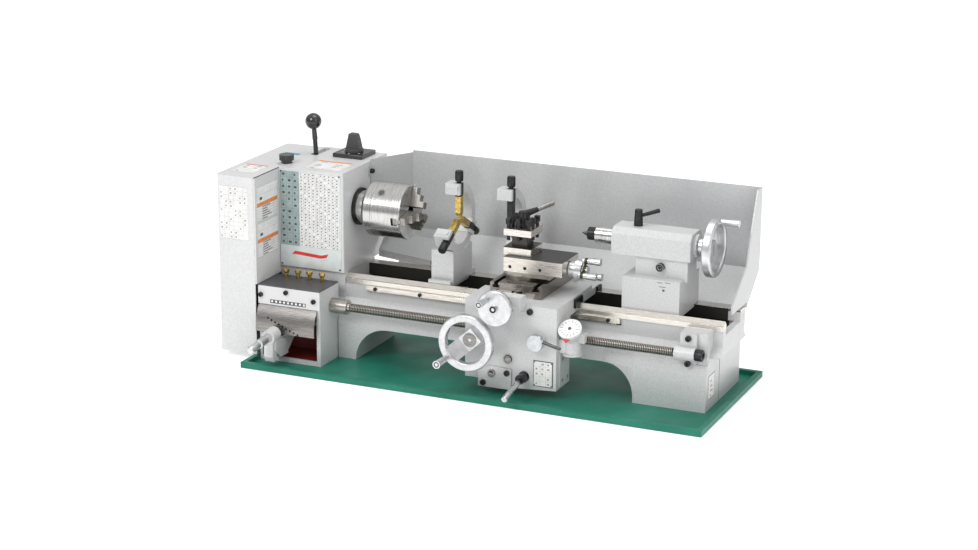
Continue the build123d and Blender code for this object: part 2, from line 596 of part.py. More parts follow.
# ---- carriage ----
def make_saddle():
    over = GAP + 0.12
    under = [(59.5, 167), (59.5, FLAT_WAY_Z + GAP)]
    under += [(GAP_BACK - GAP, FLAT_WAY_Z + GAP), (GAP_BACK - GAP, 146.5)]
    under += [(GAP_FRONT + GAP, 146.5), (GAP_FRONT + GAP, V_FOOT_Z + over), (V_CREST_Y, V_CREST_Z + over)]
    under += [(-57, V_FOOT_Z + GAP + 0.05), (BED_FRONT - GAP, V_FOOT_Z + GAP), (BED_FRONT - GAP, 139.5)]
    under += [(APRON_BACK, 139.5), (APRON_BACK, 150), (APRON_FRONT, 150), (APRON_FRONT, 167)]
    saddle = section_x(under, *APRON_X)
    saddle -= block((274, 298), (-60, 70), (159, 170)) + block((404, 446), (20, 70), (159, 170))
    way = [(320, 167), (384, 167), (388, 176.6), (316, 176.6)]
    saddle += section_y(way, -100, 59.5)
    saddle += block((334, 387), (-166, -144), (160, 186))
    saddle -= block((342.5, 361.5), (-143, 70), (162, 190))
    saddle -= along_y(CROSS_X, CROSS_Z, -170, -140, 5 + FIT)
    save("saddle", saddle)


def make_apron():
    """Gear case, open at the top, hung from the saddle, with the thread dial's housing on its right."""
    x0, x1 = APRON_X
    outline = [(x0, 150), (x0, 26), (301, 26), (301, 13), (363, 13), (363, 16), (x1, 21), (x1, 150)]
    apron = section_y(outline, APRON_FRONT, APRON_BACK)
    apron -= block((x0 + 7, x1 - 7), (APRON_FRONT + 9, APRON_BACK - 7), (30, 151))
    apron -= block((x0 - 1, x1 + 1), (SCREW_Y - 10.5, SCREW_Y + 9.7), (SCREW_Z - 10.5, SCREW_Z + 10.5))
    low_plate = [(301, 13), (363, 13), (363, 50), (321, 52), (301, 40)]
    apron += section_y(low_plate, APRON_FRONT - 4, APRON_FRONT)
    apron += block((x1 - 1, x1 + 3), (-134, -92), (26, 87))
    apron += along_y(WHEEL_X, WHEEL_Z, -152, APRON_FRONT + 1, 20)
    apron += along_y(411, 107, -150, APRON_FRONT + 1, 14)
    apron -= along_y(WHEEL_X, WHEEL_Z, -160, -130, 8 + FIT)
    apron -= along_y(411, 107, -160, -130, 6 + FIT)
    apron -= along_y(PINION_X, PINION_Z, -130, -60, 6 + FIT)
    apron -= along_y(386, 40, -150, -130, 9.4)
    dial = along_z(DIAL_X, DIAL_Y, 84, DIAL_ELBOW, 15) + Pos(DIAL_X, DIAL_Y, DIAL_ELBOW) * Sphere(15)
    dial += rod((DIAL_X, DIAL_Y, DIAL_ELBOW), dial_point(20), 15, 17)
    dial += block((x1, DIAL_X), (-136, -118), (88, 112)) + block((DIAL_X, 490), (-130, -120), (108, 124))
    dial += along_z(DIAL_X, DIAL_Y, 84, 88, 17)
    dial -= rod(dial_point(-4), dial_point(26), 4 + FIT)
    save("apron", apron, dial)


def make_carriage_fittings():
    fittings = []
    for x, z, radius in ((355.4, 42.6, 5.2), (311, 20.5, 5.2)):
        fittings.append(socket_head((x, APRON_FRONT - 4, z), (x, APRON_FRONT - 7, z), radius))
    fittings.append(socket_head((396, APRON_FRONT, 157), (396, APRON_FRONT - 4, 157), 5.5))
    fittings.append(along_y(355.7, 67.3, APRON_FRONT - 3, APRON_FRONT, 7.5))
    fittings.append(along_y(327, 39, APRON_FRONT - 6, APRON_FRONT - 4, 6.5))
    fittings.append(block((403, 439), (APRON_FRONT - 1, APRON_FRONT), (26, 72)))
    wiper = [(-68, 164), (-68, 148), (-60.5, 148), (-57, 148), (V_CREST_Y, V_CREST_Z + 1)]
    wiper += [(-40, 146), (-34, 146), (-34, 164)]
    back = block((APRON_X[1], APRON_X[1] + 4), (38, 58), (FLAT_WAY_Z + 0.5, 158.5))
    fittings += [section_x(wiper, APRON_X[1], APRON_X[1] + 4), back]
    save("carriage_fittings", *fittings)


def make_handwheel():
    """Rim, dished bar spoke, hub, shaft with its gear, and the turning handle."""
    rim = along_y(WHEEL_X, WHEEL_Z, -198, -184, 50) - along_y(WHEEL_X, WHEEL_Z, -199, -183, 37)
    rim = fillet(rim.edges().filter_by(GeomType.CIRCLE), 2.5)
    spoke = [(-44, -188), (-36, -186), (-16, -171), (16, -171), (36, -186), (44, -188)]
    spoke += [(40, -193), (34, -191)]
    spoke += [(15, -177), (-15, -177), (-34, -191), (-40, -193)]
    bar = extrude(Plane.XY.offset(-15) * make_face(Polyline(*spoke, close=True)), 30)
    bar = Pos(WHEEL_X, 0, WHEEL_Z) * Rot(0, -HANDLE_TURN, 0) * bar
    bar = bar.intersect(along_y(WHEEL_X, WHEEL_Z, -200, -150, 45))
    wheel = rim + bar + along_y(WHEEL_X, WHEEL_Z, -177, -153, 14) + along_y(WHEEL_X, WHEEL_Z, -160, -122, 8)
    wheel += gear_y(WHEEL_X, WHEEL_Z, -134, -126, WHEEL_GEAR_TEETH, RACK_MODULE)
    handle_x = WHEEL_X - 43.5 * cos(radians(HANDLE_TURN))
    handle_z = WHEEL_Z - 43.5 * sin(radians(HANDLE_TURN))
    grip = along_y(handle_x, handle_z, -197, -204, 4.5) + along_y(handle_x, handle_z, -243, -203, 7, 5.2)
    save("handwheel", wheel + grip)
    to_pinion = atan2(PINION_Z - WHEEL_Z, PINION_X - WHEEL_X)
    phase = mesh_phase(PINION_GEAR_TEETH, WHEEL_GEAR_TEETH, 0.0, to_pinion)
    pinion = gear_y(PINION_X, PINION_Z, -134, -126, PINION_GEAR_TEETH, RACK_MODULE, phase)
    pinion += along_y(PINION_X, PINION_Z, -134, -58.6, 6)
    pinion += gear_y(PINION_X, PINION_Z, -64.4, -58.6, PINION_TEETH, RACK_MODULE, pi / 2)
    save("rack_pinion", pinion)


def make_cross_feed():
    wheel = along_y(CROSS_X, CROSS_Z, -200, -187, 31.5)
    wheel = fillet(wheel.edges().filter_by(GeomType.CIRCLE), 3)
    wheel += along_y(CROSS_X, CROSS_Z, -188, -166.4, 16) + along_y(CROSS_X, CROSS_Z, -204, -198, 6.5)
    wheel += along_y(CROSS_X - 14, CROSS_Z + 14, -232, -198, 6, 5)
    wheel += along_y(CROSS_X, CROSS_Z, -170, 52, 5)
    save("cross_wheel", wheel)
    slide = block(SLIDE_X, SLIDE_Y, SLIDE_Z)
    slot = [(319.5, 160), (384.5, 160), (384.5, 167.3), (388.6, 177), (315.4, 177), (319.5, 167.3)]
    slide -= section_y(slot, -110, 80)
    for x in (315, 389):
        slide -= block((x - 4, x + 4), (-110, 80), (182, 190))
        slide -= block((x - 6.5, x + 6.5), (-110, 80), (179.5, 184.5))
    slide += block((344, 360), (-40, -16), (164.5, 180))
    slide -= along_y(CROSS_X, CROSS_Z, -41, -15, 5 + FIT)
    save("cross_slide", slide)


def make_compound():
    base = along_z(POST_X, POST_Y, SLIDE_Z[1] + 0.05, 195, 33) + block((322, 402), (-72, -12), (194, 203))
    base -= block((342, 361), (-120, 80), (180, 189.05))
    rib = [(-60, 203), (-24, 203), (-21, 211), (-63, 211)]
    base += section_x(rib, 322, 402)
    base -= block((321, 415), (POST_Y - 8, POST_Y + 8), (203.05, 215))
    save("compound_base", base)
    slide = block(TOP_SLIDE_X, TOP_SLIDE_Y, TOP_SLIDE_Z)
    groove = [(-60.4, 200), (-23.6, 200), (-23.6, 203.3), (-20.6, 211.4), (-63.4, 211.4), (-60.4, 203.3)]
    slide -= section_x(groove, 310, 440)
    slide += block((419, 427), (-66, -18), (206.5, 228))
    slide -= along_x(POST_Y, 210, 300, 440, 5.5)
    for x in (330, 358, 386):
        slide -= along_y(x, 212, -81, -78, 3)
    slide += along_z(POST_X, POST_Y, 228, 288, 6)
    save("top_slide", slide)
    crank = along_x(POST_Y, 210, 428, 440, 14) + along_x(POST_Y, 210, 440, 452, 19, 17)
    crank += along_x(POST_Y, 210, 452, 460, 9)
    crank += along_x(POST_Y, 210, 330, 429, 5)
    for turn in (75, 195, 315):
        y, z = radial(turn, 17, POST_Y, 210)
        crank += rod((448, POST_Y, 210), (452, y, z), 5) + along_x(y, z, 450, 482, 5.2, 6.4)
    save("compound_crank", crank)


def make_tool_post():
    half = 26.0
    lower = block((POST_X - half, POST_X + half), (POST_Y - half, POST_Y + half), (229.3, 243))
    upper = block((POST_X - half, POST_X + half), (POST_Y - half, POST_Y + half), (263.5, 275.5))
    post = lower + upper + block((POST_X - 14.5, POST_X + 14.5), (POST_Y - 14.5, POST_Y + 14.5), (242, 264))
    post = chamfer(post.edges().filter_by(Axis.Z), 0.8) - along_z(POST_X, POST_Y, 225, 280, 6 + FIT)
    spots = [(i * 19, j * 19) for i in (-1, 0, 1) for j in (-1, 0, 1) if i or j]
    screws = []
    for x, y in spots:
        post -= along_z(POST_X + x, POST_Y + y, 262, 277, 3 + FIT)
        screw = along_z(POST_X + x, POST_Y + y, 254, 286, 3) + along_z(POST_X + x, POST_Y + y, 283, 286, 5)
        screw += block((POST_X + x - 4, POST_X + x + 4), (POST_Y + y - 4, POST_Y + y + 4), (286, 293))
        screws.append(screw)
    save("tool_post", post)
    save("tool_post_screws", *screws)
    lever = along_z(POST_X, POST_Y, 276, 294, 12, 10) + along_z(POST_X, POST_Y, 294, 303, 10, 7)
    lever += rod((POST_X, POST_Y, 297), (355, -18, 302.5), 6.5, 4.5)
    lever += rod((354, -19, 302), (372, 12, 309), 3, 4.4)
    lever -= along_z(POST_X, POST_Y, 270, 288.3, 6 + FIT)
    save("tool_post_lever", lever)


def make_apron_levers():
    lever = along_y(411, 107, -162, -150.3, 14) + along_y(411, 107, -151, -112, 6)
    lever += block((405, 422), (-162, -152), (104, 121)) + rod((418, -157, 112), (458, -160, 103), 3.2, 2.6)
    save("half_nut_lever", lever)
    nut = block((392, 430), (-110.5, -90.5), (109, 136))
    nut -= along_x(SCREW_Y, SCREW_Z + 5, 380, 440, SCREW_R + GAP)
    nut -= block((390, 432), (-108.3, -91.7), (100, 110.05))
    save("half_nut", nut)
    hub = chamfer(along_x(-150, 40, 380, 392, 8.5).edges().filter_by(GeomType.CIRCLE), 1)
    feed = hub + along_y(386, 40, -165, -150, 8.5) + rod((386, -163, 39), (385, -228, 25), 4, 5.2)
    feed += along_y(386, 40, -150, -137, 5.5)
    save("feed_lever", feed)


def make_thread_dial():
    face = rod(dial_point(20.4), dial_point(25.4), 20.5)
    save("thread_dial", face + rod(dial_point(-3), dial_point(24), 4))


# ---- tailstock and rests ----
def make_tailstock():
    foot = [(58, 210), (58, 150.8), (36, 150.8), (35.6, 146), (-41.6, 146), (-41.6, 147.4)]
    foot += [(-45, 150.5), (-45, 210)]
    tail = section_x(foot, 524, 628) + block((540, 634), (-24, 24), (205, 246))
    barrel = [(-30, 243), (-30, 279), (-20, 289.5), (20, 289.5), (30, 279), (30, 243)]
    tail += section_x(barrel, *TAIL_X)
    tail -= along_x(0, SPINDLE_Z, 490, 620, QUILL_R + FIT) + along_x(0, SPINDLE_Z, 600, 650, 7 + FIT)
    tail -= along_z(535, 0, 280, 295, 4 + FIT)
    bolt = along_z(576, -3, 122, 146, 8)
    clamp = block((552, 600), (-48, 42), (116, 128)) + bolt
    head = socket_head((586, -24, 228), (586, -32, 228), 7)
    collar = along_x(0, SPINDLE_Z, 640, 646, 20) - along_x(0, SPINDLE_Z, 638, 648, 7 + FIT)
    save("tailstock", tail, clamp, head, collar)


def make_quill():
    quill = along_x(0, SPINDLE_Z, 460, 588, QUILL_R) - along_x(0, SPINDLE_Z, 480, 590, 6.5)
    centre = rod((432, 0, SPINDLE_Z), (446, 0, SPINDLE_Z), 0.6, 8) + along_x(0, SPINDLE_Z, 445, 460, 11.5)
    save("quill", quill, centre)


def make_tail_wheel():
    rim = along_x(0, SPINDLE_Z, 665, 680, 51) - along_x(0, SPINDLE_Z, 664, 681, 40)
    rim = fillet(rim.edges().filter_by(GeomType.CIRCLE), 3)
    wheel = rim + along_x(0, SPINDLE_Z, 646.3, 672, 14) + along_x(0, SPINDLE_Z, 520, 650, 6)
    wheel += along_x(0, SPINDLE_Z, 655, 667, 14, 42) - along_x(0, SPINDLE_Z, 660, 672, 14, 42)
    y, z = radial(76, 45)
    wheel += along_x(y, z, 678, 712, 5, 6.2)
    save("tailstock_wheel", wheel)
    lock = along_z(535, 0, 289.8, 318, 8, 6.5) + along_z(535, 0, 282, 290, 4)
    lock += rod((535, 0, 306), (565, 22, 314), 3, 3.8)
    save("quill_lock", lock)


def rest_head(x, angles, arc_cut=None):
    """Ring with a slotted box for each finger, in the plane across the bed."""
    ring = along_x(0, SPINDLE_Z, x - 11, x + 11, 62) - along_x(0, SPINDLE_Z, x - 12, x + 12, 47)
    if arc_cut is not None:
        ring -= arc_cut
    for angle in angles:
        box = block((x - 14, x + 14), (44, 64), (SPINDLE_Z - 13, SPINDLE_Z + 13))
        slot = block((x + 1.6, x + 15), (40, 70), (SPINDLE_Z - 6.4, SPINDLE_Z + 6.4))
        ring = ring - turned(slot, angle) + turned(box - slot, angle)
    return ring


def finger(x, angle):
    """Sliding finger with its brass tip inwards and the knurled knob outwards."""
    bar = block((x + 2, x + 13), (9, 63), (SPINDLE_Z - 6, SPINDLE_Z + 6))
    tip = section_x([(3, SPINDLE_Z), (9.5, SPINDLE_Z + 6), (9.5, SPINDLE_Z - 6)], x + 2, x + 13)
    knob = rod((x + 7.5, 62, SPINDLE_Z), (x + 7.5, 68, SPINDLE_Z), 4)
    knob += rod((x + 7.5, 67, SPINDLE_Z), (x + 7.5, 86, SPINDLE_Z), 7.5)
    return turned(bar + tip + knob, angle)


def make_rests():
    mouth = [(0, SPINDLE_Z)] + [radial(angle, 90) for angle in (106, 150, 194)]
    steady = rest_head(STEADY_X, STEADY_ANGLES, section_x(mouth, STEADY_X - 15, STEADY_X + 15))
    leg = block((160, 203), (-36, 44), (151.2, 212)) - along_x(0, SPINDLE_Z, 150, 220, 61)
    tongue = block((162, 201), (-41.5, 35.6), (146, 151.4)) + block((160, 203), (35, 58), (150.8, 160))
    lug = section_x([(-41.5, 160), (-49.6, 160), (-49.6, 155), (-41.5, 147.6)], 160, 203)
    clamp = block((166, 197), (-48, 42), (118, 128)) + along_z(181, -3, 127, 147, 7)
    save("steady_frame", steady + leg + tongue + lug, clamp)
    for number, angle in enumerate(STEADY_ANGLES, 1):
        save(f"steady_finger_{number}", finger(STEADY_X, angle))
    front_half = block((270, 310), (-80, -10), (150, 400)) + block((270, 310), (-80, 20), (150, 250))
    follow = rest_head(FOLLOW_X, [90], front_half)
    follow += block((279, 297), (36, 58), (159, 232)) - along_x(0, SPINDLE_Z, 270, 310, 47)
    save("follow_frame", follow)
    save("follow_finger", finger(FOLLOW_X, 90))


# ---- values worked out from the driving dimensions ----
def idler_centre():
    """Where the idler meshes with both the spindle gear and the gearbox's input gear."""
    first = GEAR_MODULE * (SPINDLE_TEETH + IDLER_TEETH) / 2
    second = GEAR_MODULE * (IDLER_TEETH + INPUT_TEETH) / 2
    dy, dz = SCREW_Y, SCREW_Z - SPINDLE_Z
    distance = sqrt(dy * dy + dz * dz)
    along = (first**2 - second**2 + distance**2) / (2 * distance)
    angle = atan2(dz, dy) + acos(along / first)
    return (first * cos(angle), SPINDLE_Z + first * sin(angle))


GEAR_MODULE = 1.5
GEAR_X = (-147.0, -139.0)
SPINDLE_TEETH = 30
IDLER_TEETH = 81
INPUT_TEETH = 62
PULLEY_R = 36.0
MOTOR_PULLEY_R = 20.0
IDLER = idler_centre()
HINGE = (-126.0, 121.0)
HINGE_Z = (40.0, 280.0)
PINION_Z = RACK_Z[0] + RACK_MODULE * (1 - PINION_TEETH / 2)
PINION_REACH = RACK_MODULE * (WHEEL_GEAR_TEETH + PINION_GEAR_TEETH) / 2
PINION_X = WHEEL_X + sqrt(PINION_REACH**2 - (PINION_Z - WHEEL_Z) ** 2)
HANDLE_TURN = 42.0
DIAL_X = 466.0
DIAL_Y = -124.0
DIAL_ELBOW = 114.0
DIAL_TILT = radians(35)
STEADY_ANGLES = (90.0, 210.0, 330.0)
PLUNGER_TILT = radians(4.5)
PLUNGER_LINE = [
    (-86.0, LAY_Y - reach * cos(PLUNGER_TILT), LAY_Z - reach * sin(PLUNGER_TILT))
    for reach in (70, 95, 130, 160, 96)
]

if __name__ == "__main__":
    os.makedirs("parts", exist_ok=True)
    make_tray()
    make_guard()
    make_bed()
    make_rack()
    make_leadscrew_bracket()
    make_headstock()
    make_plates()
    make_motor()
    make_bearings()
    make_belt()
    make_cover()
    make_belt_lever()
    make_switch_knob()
    make_spindle()
    make_chuck()
    make_change_gears()
    make_leadscrew()
    make_gearbox()
    make_gearbox_plates()
    make_oilers()
    make_selector()
    make_frame_screws()
    make_saddle()
    make_apron()
    make_carriage_fittings()
    make_handwheel()
    make_cross_feed()
    make_compound()
    make_tool_post()
    make_apron_levers()
    make_thread_dial()
    make_tailstock()
    make_quill()
    make_tail_wheel()
    make_rests()
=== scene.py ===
import json
from math import cos, pi, radians, sin, sqrt

import bmesh
import bpy
from mathutils import Matrix, Vector


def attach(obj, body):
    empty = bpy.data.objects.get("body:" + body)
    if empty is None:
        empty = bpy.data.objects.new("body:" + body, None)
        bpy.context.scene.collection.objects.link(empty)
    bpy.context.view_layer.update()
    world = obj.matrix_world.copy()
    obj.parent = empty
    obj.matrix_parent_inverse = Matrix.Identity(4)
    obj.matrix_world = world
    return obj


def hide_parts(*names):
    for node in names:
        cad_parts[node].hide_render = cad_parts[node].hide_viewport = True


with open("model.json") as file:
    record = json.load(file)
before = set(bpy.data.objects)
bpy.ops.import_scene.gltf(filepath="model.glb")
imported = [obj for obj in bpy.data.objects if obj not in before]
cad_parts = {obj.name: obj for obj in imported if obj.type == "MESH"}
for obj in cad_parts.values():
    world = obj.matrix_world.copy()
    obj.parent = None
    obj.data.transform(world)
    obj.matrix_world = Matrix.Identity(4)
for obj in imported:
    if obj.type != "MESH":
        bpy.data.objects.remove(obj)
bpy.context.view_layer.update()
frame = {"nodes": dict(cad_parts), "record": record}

# The lathe's own coordinates, in millimetres: X from the headstock's right face, Y from the
# spindle line towards the back, Z from the tray's underside. at() turns them into the frame's metres.
SHIFT = Vector((-293.5, 31.7, 0.0))
NODES = frame["nodes"]
TO_FRONT, TO_BACK, TO_RIGHT = (0, -1, 0), (0, 1, 0), (1, 0, 0)
# axes along X as (y, z), and axes along Y as (x, z)
SPINDLE, LEAD_SCREW, SELECTOR = (0.0, 265.6), (-100, 105), (-100, 68)
CROSS_SCREW, HANDWHEEL = (352, 171.5), (297.8, 102.8)
# where the flat faces that carry labels and marks lie
CHART_FACE, COVER_FACE, FLANGE_FACE = -66.2, -153.4, -129
APRON_FACE, BED_END, TAILSTOCK_FACE = -146, 696, -45
COVER_LID, HEAD_LID, SWITCH_TOP = 337.7, 339.4, 347.0


def at(x, y, z):
    return (Vector((x, y, z)) + SHIFT) / 1000


# ---- materials ----
class Finish:
    """A Principled material that gets its detail from noise in the object's own coordinates."""

    def __init__(self, name, colour, metallic=0.0, roughness=0.5, coat=0.0):
        self.m = bpy.data.materials.new(name)
        self.m.use_nodes = True
        self.tree = self.m.node_tree
        self.shader = self.tree.nodes["Principled BSDF"]
        self.shader.inputs["Base Color"].default_value = (*colour, 1)
        self.shader.inputs["Metallic"].default_value = metallic
        self.shader.inputs["Roughness"].default_value = roughness
        self.shader.inputs["Coat Weight"].default_value = coat
        self.shader.inputs["Coat Roughness"].default_value = 0.12
        self.colour = None
        self.normal = None
        self.coords = self.add("ShaderNodeTexCoord").outputs["Object"]

    def add(self, kind, **values):
        node = self.tree.nodes.new(kind)
        for key, value in values.items():
            setattr(node, key, value)
        return node

    def link(self, a, b):
        self.tree.links.new(a, b)

    def noise(self, scale, detail=2.0, stretch=(1, 1, 1), rough=0.5):
        space = self.add("ShaderNodeMapping")
        space.inputs["Scale"].default_value = stretch
        self.link(self.coords, space.inputs["Vector"])
        noise = self.add("ShaderNodeTexNoise")
        noise.inputs["Scale"].default_value = scale
        noise.inputs["Detail"].default_value = detail
        noise.inputs["Roughness"].default_value = rough
        self.link(space.outputs["Vector"], noise.inputs["Vector"])
        return noise.outputs["Fac"]

    def ramp(self, fac, stops):
        ramp = self.add("ShaderNodeValToRGB")
        element = ramp.color_ramp.elements
        while len(element) < len(stops):
            element.new(0.5)
        for e, (place, colour) in zip(element, stops):
            e.position = place
            e.color = (*colour, 1)
        self.link(fac, ramp.inputs["Fac"])
        return ramp.outputs["Color"]

    def paint(self, fac, low, high, place=(0.35, 0.65)):
        self.colour = self.ramp(fac, [(place[0], low), (place[1], high)])
        self.link(self.colour, self.shader.inputs["Base Color"])
        return self

    def rough(self, fac, low, high):
        span = self.add("ShaderNodeMapRange")
        span.inputs["From Min"].default_value = 0.3
        span.inputs["From Max"].default_value = 0.7
        span.inputs["To Min"].default_value = low
        span.inputs["To Max"].default_value = high
        self.link(fac, span.inputs["Value"])
        self.link(span.outputs["Result"], self.shader.inputs["Roughness"])
        return self

    def bump(self, fac, strength, depth):
        bump = self.add("ShaderNodeBump")
        bump.inputs["Strength"].default_value = strength
        bump.inputs["Distance"].default_value = depth
        self.link(fac, bump.inputs["Height"])
        if self.normal is not None:
            self.link(self.normal, bump.inputs["Normal"])
        self.normal = bump.outputs["Normal"]
        self.link(self.normal, self.shader.inputs["Normal"])
        return self

    def soft_edges(self, radius=0.0007):
        bevel = self.add("ShaderNodeBevel", samples=4)
        bevel.inputs["Radius"].default_value = radius
        self.normal = bevel.outputs["Normal"]
        self.link(self.normal, self.shader.inputs["Normal"])
        return self

    def inside(self, low, high):
        """1 inside a box in machine millimetres, else 0."""
        split = self.add("ShaderNodeSeparateXYZ")
        self.link(self.coords, split.inputs["Vector"])
        total = None
        for axis, (a, b) in enumerate(zip(at(*low), at(*high))):
            for limit, kind in ((a, "GREATER_THAN"), (b, "LESS_THAN")):
                test = self.add("ShaderNodeMath", operation=kind)
                self.link(split.outputs[axis], test.inputs[0])
                test.inputs[1].default_value = limit
                if total is None:
                    total = test.outputs[0]
                    continue
                both = self.add("ShaderNodeMath", operation="MULTIPLY")
                self.link(total, both.inputs[0])
                self.link(test.outputs[0], both.inputs[1])
                total = both.outputs[0]
        return total

    def over(self, mask, colour, metallic=None, roughness=None):
        """A second finish where mask is 1."""
        mix = self.add("ShaderNodeMix", data_type="RGBA")
        self.link(mask, mix.inputs["Factor"])
        self.link(self.colour, mix.inputs["A"])
        if hasattr(colour, "is_output"):
            self.link(colour, mix.inputs["B"])
        else:
            mix.inputs["B"].default_value = (*colour, 1)
        self.colour = mix.outputs["Result"]
        self.link(self.colour, self.shader.inputs["Base Color"])
        for name, value in (("Metallic", metallic), ("Roughness", roughness)):
            if value is None:
                continue
            socket = self.shader.inputs[name]
            old = socket.links[0].from_socket if socket.is_linked else None
            span = self.add("ShaderNodeMix", data_type="FLOAT")
            self.link(mask, span.inputs["Factor"])
            span.inputs["A"].default_value = socket.default_value
            if old is not None:
                self.link(old, span.inputs["A"])
            span.inputs["B"].default_value = value
            self.link(span.outputs["Result"], socket)
        return self


def casting(name, shade=0.60):
    """Light grey hammered paint on a casting."""
    f = Finish(name, (shade, shade, shade), roughness=0.36, coat=0.35).soft_edges(0.0009)
    cool = (shade * 0.90, shade * 0.91, shade * 0.92)
    f.paint(f.noise(380, 3.0), cool, (shade * 1.04, shade * 1.04, shade * 1.035))
    f.bump(f.noise(520, 2.0), 0.30, 0.0005).rough(f.noise(35), 0.30, 0.46)
    return f


def steel(name, low, high, rough=(0.18, 0.34), grain=(1, 40, 40), scale=60, bevel=0.0005):
    """Ground or turned steel, its grain drawn out along one axis."""
    f = Finish(name, high, metallic=1.0).soft_edges(bevel)
    streak = f.noise(scale, 3.0, grain)
    f.paint(streak, low, high)
    f.rough(f.noise(scale * 0.6, 2.0, grain), *rough)
    return f.bump(streak, 0.05, 0.0002)


def plain(name, low, high, rough=(0.3, 0.45), scale=300, metallic=0.0, coat=0.0, depth=0.0002):
    f = Finish(name, high, metallic=metallic, coat=coat).soft_edges(0.0005)
    grain = f.noise(scale, 2.0)
    return f.paint(grain, low, high).rough(f.noise(scale / 4), *rough).bump(grain, 0.2, depth)


PAINT = casting("hammered_grey")
BED = casting("hammered_grey_bed")
# ground tops of the front and back ways, painted shade in the space between them and on the back way's inner
# side, and the rack's painted shadow
way = BED.ramp(BED.noise(70, 3.0, (1, 40, 40)), [(0.3, (0.58, 0.545, 0.49)), (0.7, (0.76, 0.73, 0.68))])
BED.over(BED.inside((0.2, -61, 138.2), (713, -41, 160)), way, 1.0, 0.25)
BED.over(BED.inside((0.2, 35, 146), (713, 61, 160)), way, 1.0, 0.25)
# painted shade: near black inside the bed between the ways and on the back way's inner side
BED.over(BED.inside((0.2, -42.1, 60), (690, 44.2, 146.4)), (0.018, 0.017, 0.012), 0.0, 0.55)
BED.over(BED.inside((0.2, 35, 110), (690, 44.2, 150.3)), (0.018, 0.017, 0.012), 0.0, 0.55)
# painted shadow: the rack's shadow on the bed's front, drawn as a dark band
BED.over(BED.inside((42, -58.8, 125.5), (529, -57.2, 131)), (0.03, 0.03, 0.03), 0.0, 0.6)
SADDLE = casting("hammered_grey_saddle")
SADDLE.over(SADDLE.inside((314, -101, 167.1), (390, 61, 178)), (0.55, 0.52, 0.48), 1.0, 0.28)
BOX = casting("hammered_grey_box")
BOX.over(BOX.inside((-124.2, -141, 7.9), (-13, -77, 135)), (0.16, 0.012, 0.008), 0.0, 0.5)
GUARD = Finish("guard_paint", (0.52, 0.52, 0.52), roughness=0.30, coat=0.4).soft_edges(0.0008)
GUARD.paint(GUARD.noise(520, 3.0), (0.475, 0.48, 0.485), (0.56, 0.565, 0.57))
GUARD.bump(GUARD.noise(520, 2.0), 0.15, 0.0003)
SHEET = Finish("cover_paint", (0.64, 0.64, 0.64), roughness=0.34, coat=0.25).soft_edges(0.0009)
SHEET.paint(SHEET.noise(300, 3.0), (0.605, 0.61, 0.615), (0.67, 0.67, 0.665))
SHEET.bump(SHEET.noise(520, 2.0), 0.2, 0.0004)
TRAY = Finish("tray_green", (0.02, 0.22, 0.15), roughness=0.4).soft_edges(0.0014)
TRAY.shader.inputs["Specular IOR Level"].default_value = 0.28
TRAY.paint(TRAY.noise(9, 4.0), (0.010, 0.150, 0.098), (0.018, 0.205, 0.140))
TRAY.bump(TRAY.noise(160, 2.0), 0.12, 0.0005).rough(TRAY.noise(14), 0.30, 0.48)
GROUND = steel("ground_steel", (0.52, 0.48, 0.43), (0.78, 0.75, 0.70))
OILED = steel("oiled_steel", (0.34, 0.32, 0.29), (0.56, 0.53, 0.49), (0.22, 0.38))
TOPS = steel("ground_steel_top_slide", (0.52, 0.48, 0.43), (0.78, 0.74, 0.68))
# painted reflection: the top face of the top slide is near black, standing for the dark surroundings the
# ground steel reflects
TOPS.over(TOPS.inside((317, -81, 228.5), (428, -3, 230)), (0.05, 0.05, 0.047), 0.75, 0.32)
POST = steel("ground_steel_post", (0.54, 0.50, 0.45), (0.82, 0.79, 0.74), grain=(1, 1, 30))
POST.over(POST.inside((311, -69, 242.4), (365, -15, 264)), (0.07, 0.065, 0.06), 0.9, 0.36)
TURNED = steel("turned_steel", (0.44, 0.435, 0.43), (0.70, 0.695, 0.69), (0.14, 0.26), (60, 1, 1), 40)
GEARS = steel("gear_steel", (0.26, 0.25, 0.23), (0.46, 0.44, 0.41), (0.28, 0.42), (30, 1, 1), 40)
INDEX = steel("index_plate", (0.20, 0.19, 0.18), (0.36, 0.345, 0.33), (0.26, 0.40))
INDEX.over(INDEX.inside((-131, -149, 140.5), (-5, -74, 143)), (0.10, 0.10, 0.11), 0.5, 0.40)
INDEX.over(INDEX.inside((-131, -149, 106.8), (-5, -145.5, 140.6)), (0.66, 0.66, 0.66), 0.0, 0.36)
CORE = steel("thread_root", (0.34, 0.32, 0.29), (0.56, 0.53, 0.49), (0.22, 0.38))
# painted shade: the core between the thread's crests is near black, standing for the shade in the grooves
CORE.over(CORE.inside((31, -107.6, 97.4), (640, -92.4, 112.6)), (0.03, 0.026, 0.02), 0.6, 0.5)
CROSS = steel("cross_slide_steel", (0.20, 0.18, 0.165), (0.36, 0.33, 0.30), (0.20, 0.34))
CHROME = plain("polished_alloy", (0.56, 0.565, 0.575), (0.70, 0.705, 0.715), (0.24, 0.36), 90, 0.85,
               depth=0.0001)
CRANK = plain("crank_alloy", (0.54, 0.545, 0.555), (0.70, 0.705, 0.715), (0.22, 0.34), 90, 0.9, depth=0.0001)
CRANK.over(CRANK.inside((453, -90, 160), (459, 10, 260)), (0.06, 0.055, 0.03), 0.6, 0.35)
QUILL = steel("quill_steel", (0.40, 0.395, 0.39), (0.66, 0.655, 0.65), (0.14, 0.26), (60, 1, 1), 40)
QUILL.over(QUILL.inside((444.8, -20, 240), (460.2, 20, 290)), (0.02, 0.02, 0.02), 0.5, 0.35)
HALF = plain("lever_alloy", (0.50, 0.515, 0.53), (0.64, 0.655, 0.67), (0.22, 0.34), 90, 0.9, depth=0.0001)
